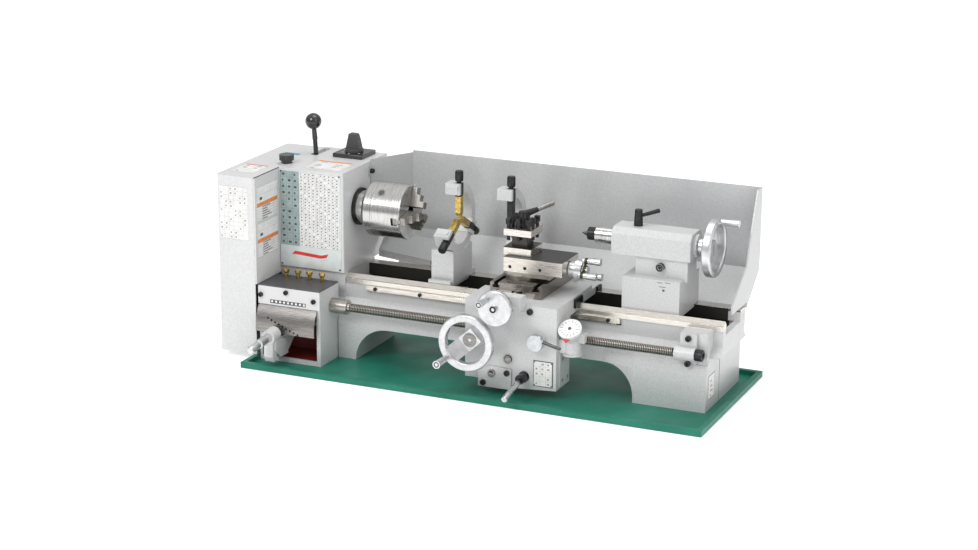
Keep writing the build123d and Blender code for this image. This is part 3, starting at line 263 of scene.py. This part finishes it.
HALF.over(HALF.inside((425, -175, 90), (470, -140, 125)), (0.10, 0.10, 0.10), 0.9, 0.3)
BLACK = plain("black_oxide", (0.018, 0.018, 0.019), (0.05, 0.05, 0.052), (0.30, 0.46), 500, 0.7)
PLASTIC = plain("black_plastic", (0.010, 0.010, 0.011), (0.022, 0.022, 0.024), (0.16, 0.26), 300, coat=0.5)
GREY = plain("grey_plastic", (0.045, 0.045, 0.047), (0.085, 0.085, 0.088), (0.40, 0.52), 700)
RUBBER = plain("belt_rubber", (0.012, 0.012, 0.012), (0.03, 0.03, 0.03), (0.6, 0.75), 400)
BRASS = plain("polished_brass", (0.42, 0.29, 0.07), (0.66, 0.49, 0.17), (0.20, 0.34), 200, 1.0)
BRONZE = plain("machined_bronze", (0.40, 0.25, 0.12), (0.58, 0.38, 0.18), (0.24, 0.36), 200, 1.0)
MOTOR = plain("motor_paint", (0.03, 0.032, 0.035), (0.055, 0.058, 0.062), (0.4, 0.55), 300)
HEADS = plain("screw_heads", (0.018, 0.018, 0.019), (0.05, 0.05, 0.052), (0.30, 0.46), 500, 0.7)
HEADS.over(HEADS.inside((-7, -90, 10), (0, -70, 100)), (0.60, 0.60, 0.60), 1.0, 0.3)
ENAMEL = plain("white_enamel", (0.74, 0.74, 0.73), (0.84, 0.84, 0.83), (0.28, 0.38), 80, coat=0.3,
               depth=0.0001)
CARD = plain("label_card", (0.72, 0.72, 0.71), (0.82, 0.82, 0.81), (0.40, 0.5), 60, depth=0.0001)
TEAL = plain("chart_teal", (0.26, 0.34, 0.34), (0.34, 0.43, 0.42), (0.34, 0.44), 60, depth=0.0001)
PALE = plain("chart_plate", (0.62, 0.67, 0.66), (0.70, 0.75, 0.73), (0.30, 0.42), 60, 0.2, depth=0.0001)
INK = plain("ink", (0.05, 0.055, 0.06), (0.10, 0.105, 0.11), (0.4, 0.5), 200, depth=0.0001)
DARK_INK = plain("dark_ink", (0.12, 0.11, 0.11), (0.2, 0.18, 0.18), (0.4, 0.5), 200, depth=0.0001)
SOFT_INK = plain("soft_ink", (0.26, 0.23, 0.23), (0.42, 0.36, 0.36), (0.4, 0.5), 200, depth=0.0001)
ORANGE = plain("label_orange", (0.72, 0.20, 0.035), (0.85, 0.27, 0.06), (0.4, 0.5), 90, depth=0.0001)
RED = plain("label_red", (0.62, 0.02, 0.02), (0.76, 0.04, 0.035), (0.35, 0.45), 90, depth=0.0001)
BLUE = plain("label_blue", (0.02, 0.30, 0.40), (0.03, 0.38, 0.50), (0.4, 0.5), 90, depth=0.0001)

BY_SLOT = {
    "tray_enamel": TRAY, "guard_paint": GUARD, "casting_paint": PAINT, "ground_steel": GROUND,
    "turned_steel": TURNED, "chart_plate": PALE, "motor_paint": MOTOR, "bearing_steel": BLACK,
    "belt_rubber": RUBBER, "index_steel": INDEX, "oiler_brass": BRASS, "black_oxide": BLACK,
    "black_plastic": PLASTIC, "grey_plastic": GREY, "wheel_chrome": CHROME, "gear_steel": GEARS,
    "nut_bronze": BRONZE, "dial_enamel": ENAMEL,
}
BY_NODE = {
    "bed": BED, "saddle": SADDLE, "gearbox_housing": BOX, "gear_cover": SHEET, "headstock": SHEET,
    "compound_crank": CRANK, "quill": QUILL, "half_nut_lever": HALF, "frame_screws": HEADS,
    "cross_slide": CROSS, "chuck_jaw_1": GEARS, "chuck_jaw_2": GEARS, "chuck_jaw_3": GEARS,
    "top_slide": TOPS, "tool_post": POST, "compound_base": OILED,
}
for part in frame["record"]["subparts"]:
    name = part["node"]
    finish = BY_NODE.get(name) or BY_SLOT[part["material_slot"]]
    target = NODES[name]
    if not target.material_slots:
        target.data.materials.append(finish.m)
    for place in target.material_slots:
        place.material = finish.m


# ---- shapes ----
class Shape:
    """Gathers solids, given in machine millimetres, into one mesh."""

    def __init__(self):
        self.points = []
        self.faces = []

    def mesh(self, points, faces):
        start = len(self.points)
        self.points += [at(*p) for p in points]
        self.faces += [[start + i for i in face] for face in faces]
        return self

    def box(self, x, y, z):
        points = [(a, b, c) for a in x for b in y for c in z]
        faces = [(0, 1, 3, 2), (4, 6, 7, 5), (0, 4, 5, 1), (2, 3, 7, 6), (0, 2, 6, 4), (1, 5, 7, 3)]
        return self.mesh(points, faces)

    def turn(self, start, axis, profile, count=48, ridge=None):
        """Revolves (distance along the axis, radius) pairs; ridge(distance, angle) adds to the radius."""
        along = Vector(axis).normalized()
        side = along.orthogonal().normalized()
        up = along.cross(side)
        points, rings = [], []
        for t, r in profile:
            if r < 1e-6:
                rings.append([len(points)])
                points.append(Vector(start) + along * t)
                continue
            rings.append(list(range(len(points), len(points) + count)))
            for k in range(count):
                a = 2 * pi * k / count
                radius = r + (ridge(t, a) if ridge else 0.0)
                points.append(Vector(start) + along * t + (side * cos(a) + up * sin(a)) * radius)
        faces = []
        for low, high in zip(rings, rings[1:]):
            for k in range(count):
                quad = [low[k % len(low)], low[(k + 1) % count % len(low)]]
                quad += [high[(k + 1) % count % len(high)], high[k % len(high)]]
                faces.append(list(dict.fromkeys(quad)))
        return self.mesh(points, faces)

    def slab(self, outline, place, depth):
        """Pushes a flat outline; place((u, v), w) gives the point at height w above it."""
        n = len(outline)
        points = [place(p, 0) for p in outline] + [place(p, depth) for p in outline]
        faces = [list(range(n))[::-1], list(range(n, 2 * n))]
        faces += [(k, (k + 1) % n, n + (k + 1) % n, n + k) for k in range(n)]
        return self.mesh(points, faces)

    def piece(self, name, body, slot, finish, bevel=0.0, smooth=True):
        mesh = bpy.data.meshes.new(name)
        mesh.from_pydata(self.points, [], self.faces)
        mesh.validate()
        obj = bpy.data.objects.new(name, mesh)
        bpy.context.scene.collection.objects.link(obj)
        mesh.materials.append(finish.m)
        bm = bmesh.new()
        bm.from_mesh(mesh)
        bmesh.ops.recalc_face_normals(bm, faces=bm.faces)
        bm.to_mesh(mesh)
        bm.free()
        if bevel:
            rounder = obj.modifiers.new("edges", "BEVEL")
            rounder.width = bevel / 1000
            rounder.segments = 2
            rounder.limit_method = "ANGLE"
            rounder.angle_limit = radians(50)
        if smooth:
            for face in mesh.polygons:
                face.use_smooth = True
            mesh.set_sharp_from_angle(angle=radians(35))
        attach(obj, body)
        return obj


def front(y):
    """Places (x, z) outlines on a face that looks towards the operator at y."""
    return lambda p, w: (p[0], y - w, p[1])


def right(x):
    """Places (y, z) outlines on a face that looks towards +X at x."""
    return lambda p, w: (x + w, p[0], p[1])


def top(z):
    """Places (x, y) outlines on a face that looks up at z."""
    return lambda p, w: (p[0], p[1], z + w)


def frame_of(u, v):
    return [(u[0], v[0]), (u[1], v[0]), (u[1], v[1]), (u[0], v[1])]


def label(name, body, slot, place, u, v, rows, cols, ink=SOFT_INK, header=None, card=CARD, fill=0.7):
    """A printed card: ruled lines, short dashes for entries and an optional coloured band."""
    Shape().slab(frame_of(u, v), place, 0.25).piece(name, body, slot, card, 0.08, False)
    ruled = Shape()
    lift = lambda p, w: place(p, 0.24 + w)
    height, width = v[1] - v[0], u[1] - u[0]
    band = header[1] if header else 0.0
    span = height - band
    for row in range(rows + 1):
        z = v[0] + span * row / rows
        ruled.slab(frame_of((u[0] + 1, u[1] - 1), (z - 0.12, z + 0.12)), lift, 0.06)
    for col in range(cols + 1):
        x = u[0] + 1 + (width - 2) * col / cols
        ruled.slab(frame_of((x - 0.12, x + 0.12), (v[0], v[0] + span)), lift, 0.06)
    cell_w, cell_h = (width - 2) / cols, span / rows
    for row in range(rows):
        for col in range(cols):
            seed = (row * 37 + col * 17 + row * col * 5) % 10
            if seed / 10 >= fill:
                continue
            x, z = u[0] + 1 + cell_w * (col + 0.25), v[0] + cell_h * (row + 0.32)
            reach = cell_w * (0.25 + 0.03 * (seed % 8))
            ruled.slab(frame_of((x, x + reach), (z, z + cell_h * 0.36)), lift, 0.06)
    ruled.piece(name + "_print", body, slot, ink, 0, False)
    if header:
        strip = Shape().slab(frame_of((u[0] + 0.4, u[1] - 0.4), (v[1] - band + 0.5, v[1] - 0.4)), lift, 0.06)
        strip.piece(name + "_band", body, slot, header[0], 0, False)


def ridges(count, depth, low=-1e9, high=1e9):
    return lambda t, a: depth * (0.5 + 0.5 * cos(count * a)) if low < t < high else 0.0


# ---- headstock: chart plate, labels and switch ----
plate = Shape().box((-127, -4), (CHART_FACE, -65), (157, 336))
plate = plate.piece("chart_plate", "frame", "chart_plate", PALE, 0.4)
plinth = Shape().box((-77, -17), (44, 102), (HEAD_LID, SWITCH_TOP))
plinth = plinth.piece("switch_plate", "frame", "chart_plate", PLASTIC, 1.2)
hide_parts("headstock_plates")
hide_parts("headstock_plates")
label("chart_teal", "frame", "chart_plate", front(CHART_FACE), (-126, -88), (197, 334), 12, 3,
      INK, None, TEAL, 0.9)
label("chart_grid", "frame", "chart_plate", front(CHART_FACE), (-87.6, -6), (197, 334), 24, 10,
      DARK_INK, None, CARD, 0.9)
stripe = [(-104, 180), (-98, 187), (-44, 184), (-30, 188), (-34, 181), (-46, 178), (-98, 181)]
Shape().slab(stripe, front(CHART_FACE), 0.25).piece("chart_stripe", "frame", "chart_plate", RED, 0, False)
ticks = Shape()
for k in range(5):
    a = radians(40 + 50 * k)
    x, y = -47 + 22 * cos(a), 73 - 22 * sin(a)
    ticks.slab(frame_of((x - 1.6, x + 1.6), (y - 1.1, y + 1.1)), top(SWITCH_TOP), 0.12)
ticks.piece("switch_marks", "frame", "chart_plate", CARD, 0, False)
for k, (low, high) in enumerate(((256, 318), (190, 252))):
    name = f"panel_label_{k + 1}"
    label(name, "frame", "casting_paint", right(FLANGE_FACE), (-147, -72), (low, low + 26), 6, 1,
          INK, None, CARD, 0.9)
    label(name + "_top", "frame", "casting_paint", right(FLANGE_FACE), (-147, -72), (low + 33, high), 2, 2,
          INK)
    Shape().slab(frame_of((-147, -72), (low + 26.5, low + 32.5)), right(FLANGE_FACE), 0.25).piece(
        name + "_band", "frame", "casting_paint", ORANGE, 0.05, False)
label("cover_label", "gear_cover", "casting_paint", front(COVER_FACE), (-202, -143), (222, 318), 12, 6,
      SOFT_INK, None, CARD, 0.5)
label("cover_top_label", "gear_cover", "casting_paint", top(COVER_LID), (-196, -150), (-120, -62), 4, 2,
      SOFT_INK, (RED, 5))
Shape().slab(frame_of((-176, -144), (36, 48)), top(COVER_LID), 0.25).piece(
    "blue_label", "gear_cover", "casting_paint", BLUE, 0.05, False)
label("head_top_label", "frame", "casting_paint", top(HEAD_LID), (-86, -16), (-50, 12), 6, 2,
      SOFT_INK, (ORANGE, 8))

# ---- gearbox: scale, index holes and plunger knob ----
scale = Shape().box((-106, -34), (-147.2, -146.2), (110, 117))
scale.piece("gearbox_scale", "frame", "index_steel", INK, 0.1, False)
dots = Shape()
for k in range(9):
    dots.turn((-102 + 8 * k, -147.2, 113.5), TO_FRONT, [(0, 2.2), (0.4, 2.2), (0.4, 0)], 16)
dots.piece("gearbox_scale_marks", "frame", "index_steel", CARD, 0, False)
BARREL_RADIUS = 60.4
# painted shade: black discs on the barrel stand for the shade inside the index holes
holes = Shape()
for k in range(9):
    x, z = -105 + 7.5 * k, 85 - 3.06 * k
    y = SELECTOR[0] - sqrt(BARREL_RADIUS**2 - (z - SELECTOR[1]) ** 2)
    holes.turn((x, y, z), TO_BACK, [(0, 2.6), (1.5, 2.6), (1.5, 0)], 20)
holes.piece("index_holes", "frame", "index_steel", BLACK, 0, False)
tilt = radians(4.5)
pull = (0, -cos(tilt), -sin(tilt))
grip = [(70, 0), (70, 5), (96, 5), (96, 7.6), (98, 8), (128, 8), (130, 6.3)]
grip += [(134, 6.3), (135, 7.4), (156, 7.4), (160, 5.6), (160.5, 0)]
knob = Shape().turn((-86, *SELECTOR), pull, grip, 60, ridges(24, -0.45, 134.5, 157))
knob = knob.piece("plunger", "selector_plunger", "wheel_chrome", CHROME, 0.2)
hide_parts("selector_plunger")

# ---- lead screw with its thread ----
PITCH, SEG, TEETH = 3.175, 20, 37
THREAD_START, THREAD_END = 28, 640
screw = Shape()
points, faces = [], []
turns = int((THREAD_END - THREAD_START) / PITCH)
for step in range(turns * SEG + 1):
    a = 2 * pi * step / SEG
    x = THREAD_START + PITCH * step / SEG
    for shift, r in ((0.0, 6.9), (0.45, 8.0), (1.35, 8.0), (1.8, 6.9)):
        points.append((x + shift, LEAD_SCREW[0] + r * cos(a), LEAD_SCREW[1] + r * sin(a)))
for step in range(turns * SEG):
    for lane in range(3):
        i = step * 4 + lane
        faces.append((i, i + 1, i + 5, i + 4))
    if step + SEG + 1 <= turns * SEG:
        i, j = step * 4 + 3, (step + SEG) * 4
        faces.append((i, j, j + 4, i + 4))
screw.mesh(points, faces)
screw.piece("leadscrew_thread", "leadscrew", "turned_steel", OILED)
screw = Shape()
body = [(-28, 0), (-28, 7.9), (-6, 7.9), (-6, 12.5), (-5, 13.5), (26, 13.5)]
body += [(27, 12.5), (27, 7.95), (29, 7.95), (31, 6.95), (THREAD_END, 6.95), (642, 7.95)]
body += [(678, 7.95), (678, 9.5), (679, 10), (690, 10), (691, 9), (691, 5), (684, 4.6), (684, 0)]
screw.turn((0, *LEAD_SCREW), TO_RIGHT, body, 40)
gear = []
for tooth in range(TEETH):
    for share, r in ((-0.30, 17.25), (-0.13, 19.3), (0.13, 19.3), (0.30, 17.25)):
        a = 2 * pi * (tooth + share + 0.5) / TEETH + pi / 2
        gear.append((LEAD_SCREW[0] + r * cos(a), LEAD_SCREW[1] + r * sin(a)))
screw.slab(gear, lambda p, w: (-26 + w, p[0], p[1]), 8)
screw = screw.piece("leadscrew_core", "leadscrew", "turned_steel", CORE)
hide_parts("leadscrew")

# ---- carriage ----
MARK_FACES = [(0, 1, 2, 3), (4, 7, 6, 5), (0, 4, 5, 1), (1, 5, 6, 2), (2, 6, 7, 3), (3, 7, 4, 0)]


def across(axis, y):
    """The point at y on an axis along Y."""
    return axis[0], y, axis[1]


def graduation(shape, base, out, sideways, reach):
    """One raised line, 0.6 mm wide, on a cylinder whose outward direction is out."""
    w = sideways * 0.3
    quad = [base - w, base + w, base + w + reach, base - w + reach]
    shape.mesh([tuple(q) for q in quad] + [tuple(q + out * 0.12) for q in quad], MARK_FACES)


label("apron_label", "carriage", "casting_paint", front(APRON_FACE), (404, 438), (27, 71), 5, 3,
      SOFT_INK, None, CARD, 0.6)
pins = Shape()
for x in (405.6, 436.4):
    for z in (28.6, 69.4):
        pins.turn((x, -146.2, z), TO_FRONT, [(0, 1.3), (0.5, 1.1), (0.8, 0)], 14)
pins.piece("apron_label_pins", "carriage", "black_oxide", BLACK)
cap = Shape().turn((327, -151, 39), TO_FRONT, [(0, 7), (1.2, 6.8), (1.6, 5), (0.4, 3), (0.4, 0)], 32)
cap.turn((355.7, -148, 67.3), TO_FRONT, [(0, 7.4), (1.2, 7.2), (1.6, 4.8), (0.6, 4.2), (0.6, 0)], 32)
cap.piece("apron_plugs", "carriage", "index_steel", INDEX)
WHEEL_FACES = (("cross_wheel_face", "cross_wheel", across(CROSS_SCREW, -204), 6.0, BLACK),
               ("handwheel_face", "handwheel", across(HANDWHEEL, -177), 12.6, INDEX))
for name, body, middle, r, finish in WHEEL_FACES:
    profile = [(0, r), (0.6, r), (0.8, r - 0.6), (0.8, 3.2), (-0.6, 2.6), (-0.6, 0)]
    Shape().turn(middle, TO_FRONT, profile, 40).piece(name, body, "black_oxide", finish)
GRIP_TURN, GRIP_REACH = radians(42), 43.5
gx, gz = HANDWHEEL[0] - GRIP_REACH * cos(GRIP_TURN), HANDWHEEL[1] - GRIP_REACH * sin(GRIP_TURN)
GRIP_ENDS = (("handwheel_grip_end", "handwheel", (gx, -242.8, gz), 5.0),
             ("cross_grip_end", "cross_wheel", (338, -231.8, 185.5), 4.8))
for name, body, middle, r in GRIP_ENDS:
    profile = [(0, r), (0.6, r - 0.4), (0.6, r - 1.6), (0.1, r - 2.0), (0.1, 0)]
    Shape().turn(middle, TO_FRONT, profile, 28).piece(name, body, "black_oxide", BLACK)
ring = Shape()
for k in range(40):
    a = 2 * pi * k / 40
    reach = 3.4 if k % 5 == 0 else 2.0
    u = Vector((cos(a), 0, sin(a)))
    base = Vector(across(CROSS_SCREW, -182)) + u * 16.0
    graduation(ring, base, u, Vector((-sin(a), 0, cos(a))), Vector((0, reach, 0)))
ring.piece("cross_dial_marks", "cross_wheel", "black_oxide", INK, 0, False)

# thread dial: graduations and pointer on the tilted face
lean = radians(35)
dial_up = Vector((0, -sin(lean), cos(lean)))
dial_side = Vector((1, 0, 0))
dial_fore = dial_up.cross(dial_side)
centre = Vector((466, -124, 114)) + dial_up * 25.4
on_dial = lambda p, w: tuple(centre + dial_side * p[0] + dial_fore * p[1] + dial_up * w)
marks = Shape()
for k in range(16):
    a = 2 * pi * k / 16
    inner = 13.5 if k % 2 else 11.5
    u, v = (cos(a), sin(a)), (-sin(a) * 0.35, cos(a) * 0.35)
    quad = [(r * u[0] + side * v[0], r * u[1] + side * v[1])
            for r, side in ((inner, -1), (18, -1), (18, 1), (inner, 1))]
    marks.slab(quad, on_dial, 0.12)
hexagon = [(3.2 * cos(radians(60 * k)), 3.2 * sin(radians(60 * k))) for k in range(6)]
marks.slab(hexagon, on_dial, 0.9)
marks.piece("thread_dial_marks", "thread_dial", "black_oxide", INK, 0, False)
wedge = Shape().slab([(-6, -21.2), (6, -21.2), (0, -27.5)], lambda p, w: on_dial(p, w - 5), 2.0)
wedge.piece("thread_dial_pointer", "carriage", "dial_enamel", RED, 0.2, False)

# compound: scale ring, gib screws and the tool post lever's sleeve
scale = Shape()
for k in range(-8, 9):
    a = radians(-90 + k * 5)
    u = Vector((cos(a), sin(a), 0))
    base = Vector((338, -42, 190.4)) + u * 33.0
    height = 3.6 if k % 2 == 0 else 2.2
    graduation(scale, base, u, Vector((-sin(a), cos(a), 0)), Vector((0, 0, height)))
scale.piece("swivel_marks", "compound_base", "black_oxide", INK, 0, False)
gibs = Shape()
for x in (330, 358, 386):
    gibs.turn((x, -78.2, 212), TO_FRONT, [(0, 2.9), (1.4, 2.9), (1.5, 1.4), (0.5, 1.2), (0.5, 0)], 20)
gibs.piece("gib_screws", "top_slide", "black_oxide", BLACK)
sleeve = [(-0.3, 0), (-0.3, 3.6), (0.6, 4.7), (34, 4.2), (35, 3.4), (35.2, 0)]
handle = Shape().turn((372, 12, 309), Vector((-18, -31, -7)), sleeve, 32)
handle.piece("lever_sleeve", "tool_post_lever", "gear_steel", GEARS)

# ---- rests: knurled knobs, bars and tips ----
def knurled_knob(start, axis, name, body):
    profile = [(0, 0), (0, 4), (5, 4), (5.4, 6.6), (6.6, 7.5), (22, 7.5), (24, 6.4), (24.4, 0)]
    knurled = Shape().turn(start, axis, profile, 72, ridges(24, -0.5, 6.0, 23))
    return knurled.piece(name, body, "black_oxide", BLACK)


def rest_trim(x, angle, name, finger_body, slot, tip_finish):
    a = radians(angle)
    u = Vector((0, cos(a), sin(a)))
    w = Vector((0, -sin(a), cos(a)))
    origin = Vector((0, *SPINDLE))
    start = origin + u * 62 + Vector((x + 7.5, 0, 0))
    knurled_knob(tuple(start), u, name + "_knob", finger_body)
    bar = Shape()
    hold = lambda p, depth: tuple(origin + u * p[0] + w * p[1] + Vector((x + 2 + depth, 0, 0)))
    bar.slab([(40, -6), (40, 6), (63, 6), (63, -6)], hold, 11)
    bar.piece(name + "_bar", finger_body, "black_oxide", BLACK, 0.5)
    tip = Shape().slab([(3, 0), (9.5, 6), (39.9, 6), (39.9, -6), (9.5, -6)], hold, 11)
    return tip.piece(name + "_tip", finger_body, slot, tip_finish, 0.4)


for number, angle in enumerate((90, 210, 330), 1):
    tip = rest_trim(190, angle, f"steady_{number}", f"steady_finger_{number}", "oiler_brass", BRASS)
    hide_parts(f"steady_finger_{number}")
tip = rest_trim(290, 90, "follow", "follow_finger", "black_oxide", BLACK)
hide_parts("follow_finger")

# ---- caps, chuck key sockets, side screws, marks and the bed's label ----
profile = [(677.9, 8), (677.9, 9.6), (679, 10.15), (690, 10.15)]
profile += [(691.2, 9.1), (691.2, 5), (685, 4.6), (685, 0)]
nut = Shape().turn((0, *LEAD_SCREW), TO_RIGHT, profile, 40)
nut.piece("leadscrew_nut", "leadscrew", "black_oxide", BLACK)
profile = [(0, 7.2), (7.4, 7.2), (8.3, 6.4), (8.3, 3.6), (5, 3.4), (5, 0)]
head = Shape().turn((586, -23.9, 228), TO_FRONT, profile, 32, ridges(32, -0.25, 1, 7))
head.piece("tailstock_lock_screw", "tailstock", "black_oxide", BLACK)
for turn in (10, 130, 250):
    a = radians(turn)
    u = Vector((0, cos(a), sin(a)))
    seat = tuple(Vector((60, *SPINDLE)) + u * 49.2)
    key = Shape().turn(seat, u, [(0, 8.2), (0.95, 8.0), (0.95, 5.6), (0, 5.4)], 40)
    key.piece(f"key_ring_{turn}", "spindle", "gear_steel", GEARS)
    # painted shade: an ink-black disc stands for the shade inside each chuck key socket
    hole = Shape().turn(seat, u, [(0, 5.5), (0.9, 5.5), (0.9, 0)], 40)
    hole.piece(f"key_hole_{turn}", "spindle", "black_oxide", INK, 0, False)
profile = [(0, 0), (0, 4.3), (1, 4.7), (57, 5.6), (59.4, 4.8), (59.9, 0)]
sleeve = Shape().turn((386, -172, 37), Vector((-1, -65, -14)), profile, 32)
sleeve.piece("feed_lever_sleeve", "feed_lever", "wheel_chrome", HALF)
# painted shade: a black strip stands for the shadow in the seam at the gear cover's top right
seam = Shape().box((-132, -130.6), (-152.9, -61.5), (336.7, 337.9))
seam.piece("cover_seam_shade", "frame", "belt_rubber", RUBBER, 0.2)
plugs = Shape()
for y, z in ((-124, 74), (-124, 36), (-101, 74), (-101, 36)):
    plugs.turn((448, y, z), TO_RIGHT, [(0, 3.2), (0.8, 3.0), (0.8, 1.6), (0, 1.4), (0, 0)], 20)
plugs.piece("apron_side_screws", "carriage", "turned_steel", GEARS)
bits = Shape()
for x, z, reach in ((592, 206, 9), (606, 207, 9), (597, 199, 12)):
    bits.slab(frame_of((x - reach / 2, x + reach / 2), (z - 0.5, z + 0.5)), front(TAILSTOCK_FACE), 0.15)
bits.slab(frame_of((597, 601), (191, 195)), front(TAILSTOCK_FACE), 0.15)
bits.piece("tailstock_marks", "tailstock", "casting_paint", INK, 0, False)
label("bed_label", "frame", "casting_paint", right(BED_END), (-80, -48), (22, 62), 4, 1,
      SOFT_INK, (CARD, 6), CARD, 0.9)
Shape().slab(frame_of((-82, -46), (20, 64)), right(BED_END), 0.12).piece(
    "bed_label_edge", "frame", "casting_paint", SOFT_INK, 0, False)
QUILL_RADIUS = 15.0
around = lambda p, w: (p[0], -(QUILL_RADIUS + w) * cos(p[1] / QUILL_RADIUS),
                       SPINDLE[1] + (QUILL_RADIUS + w) * sin(p[1] / QUILL_RADIUS))
quill = Shape()
for k in range(6):
    x = 463.5 + 2.5 * k
    for step in range(5 if k % 5 == 0 else 3):
        quill.slab(frame_of((x - 0.15, x + 0.15), (step, step + 1)), around, 0.12)
quill.piece("quill_scale", "quill", "black_oxide", INK, 0, False)
flange = [(0.3, 22), (0.3, 33.5), (4.6, 33.5), (5.1, 33), (5.1, 21.5)]
ring = Shape().turn((0, *SPINDLE), TO_RIGHT, flange + [flange[0]], 72)
ring.piece("nose_ring", "frame", "black_oxide", BLACK)

# ---- stage ----
floor = bpy.data.meshes.new("floor")
FLOOR_HALF, FLOOR_Z = 30, -0.0005
corners = [(FLOOR_HALF * x, FLOOR_HALF * y, FLOOR_Z) for x, y in ((-1, -1), (1, -1), (1, 1), (-1, 1))]
floor.from_pydata(corners, [], [(0, 1, 2, 3)])
floor_obj = bpy.data.objects.new("floor", floor)
bpy.context.scene.collection.objects.link(floor_obj)
white = Finish("floor_white", (0.9, 0.9, 0.9), roughness=0.9)
white.shader.inputs["Emission Color"].default_value = (1, 1, 1, 1)
white.shader.inputs["Emission Strength"].default_value = 0.35
floor.materials.append(white.m)

world = bpy.data.worlds.new("studio")
bpy.context.scene.world = world
world.use_nodes = True
tree = world.node_tree
sky = tree.nodes["Background"]
sky.inputs["Strength"].default_value = 0.82
look = tree.nodes.new("ShaderNodeTexCoord")
parts = tree.nodes.new("ShaderNodeSeparateXYZ")
shade = tree.nodes.new("ShaderNodeValToRGB")
tree.links.new(look.outputs["Generated"], parts.inputs["Vector"])
tree.links.new(parts.outputs["Z"], shade.inputs["Fac"])
tree.links.new(shade.outputs["Color"], sky.inputs["Color"])
for stop, (place, tone) in zip(shade.color_ramp.elements, ((0.02, 0.45), (0.75, 1.0))):
    stop.position = place
    stop.color = (tone, tone, tone, 1)
bpy.context.scene.view_settings.view_transform = "Standard"


def area(name, place, aim, size, power):
    lamp = bpy.data.lights.new(name, "AREA")
    lamp.size = size
    lamp.energy = power
    obj = bpy.data.objects.new(name, lamp)
    bpy.context.scene.collection.objects.link(obj)
    obj.location = place
    obj.rotation_euler = (Vector(aim) - Vector(place)).to_track_quat("-Z", "Y").to_euler()


area("key", (-1.0, -2.6, 2.4), (0, 0, 0.2), 1.2, 42)
area("fill", (2.6, -1.2, 1.5), (0.1, 0, 0.15), 1.6, 12)
area("top", (0.1, 0.2, 2.6), (0, 0, 0.1), 1.5, 18)

# the camera that took the photo: lens and image centre in its pixels
PHOTO_WIDTH, FOCAL, CENTRE_X, SENSOR = 978, 2272.16, 499.455, 36
az, el, roll = radians(23.298), radians(16.244), radians(0.421)
back = Vector((sin(az) * cos(el), -cos(az) * cos(el), sin(el)))
side = (-back).cross(Vector((0, 0, 1))).normalized()
lift = side.cross(-back)
side, lift = side * cos(roll) + lift * sin(roll), lift * cos(roll) - side * sin(roll)
camera = bpy.data.cameras.new("camera")
camera.sensor_width = SENSOR
camera.lens = FOCAL / PHOTO_WIDTH * SENSOR
camera.shift_x = (PHOTO_WIDTH / 2 - CENTRE_X) / PHOTO_WIDTH
camera.clip_end = 100
eye = bpy.data.objects.new("camera", camera)
bpy.context.scene.collection.objects.link(eye)
eye.matrix_world = Matrix((side, lift, back)).transposed().to_4x4()
eye.location = (1.51275, -3.5215, 1.29649)
bpy.context.scene.camera = eye
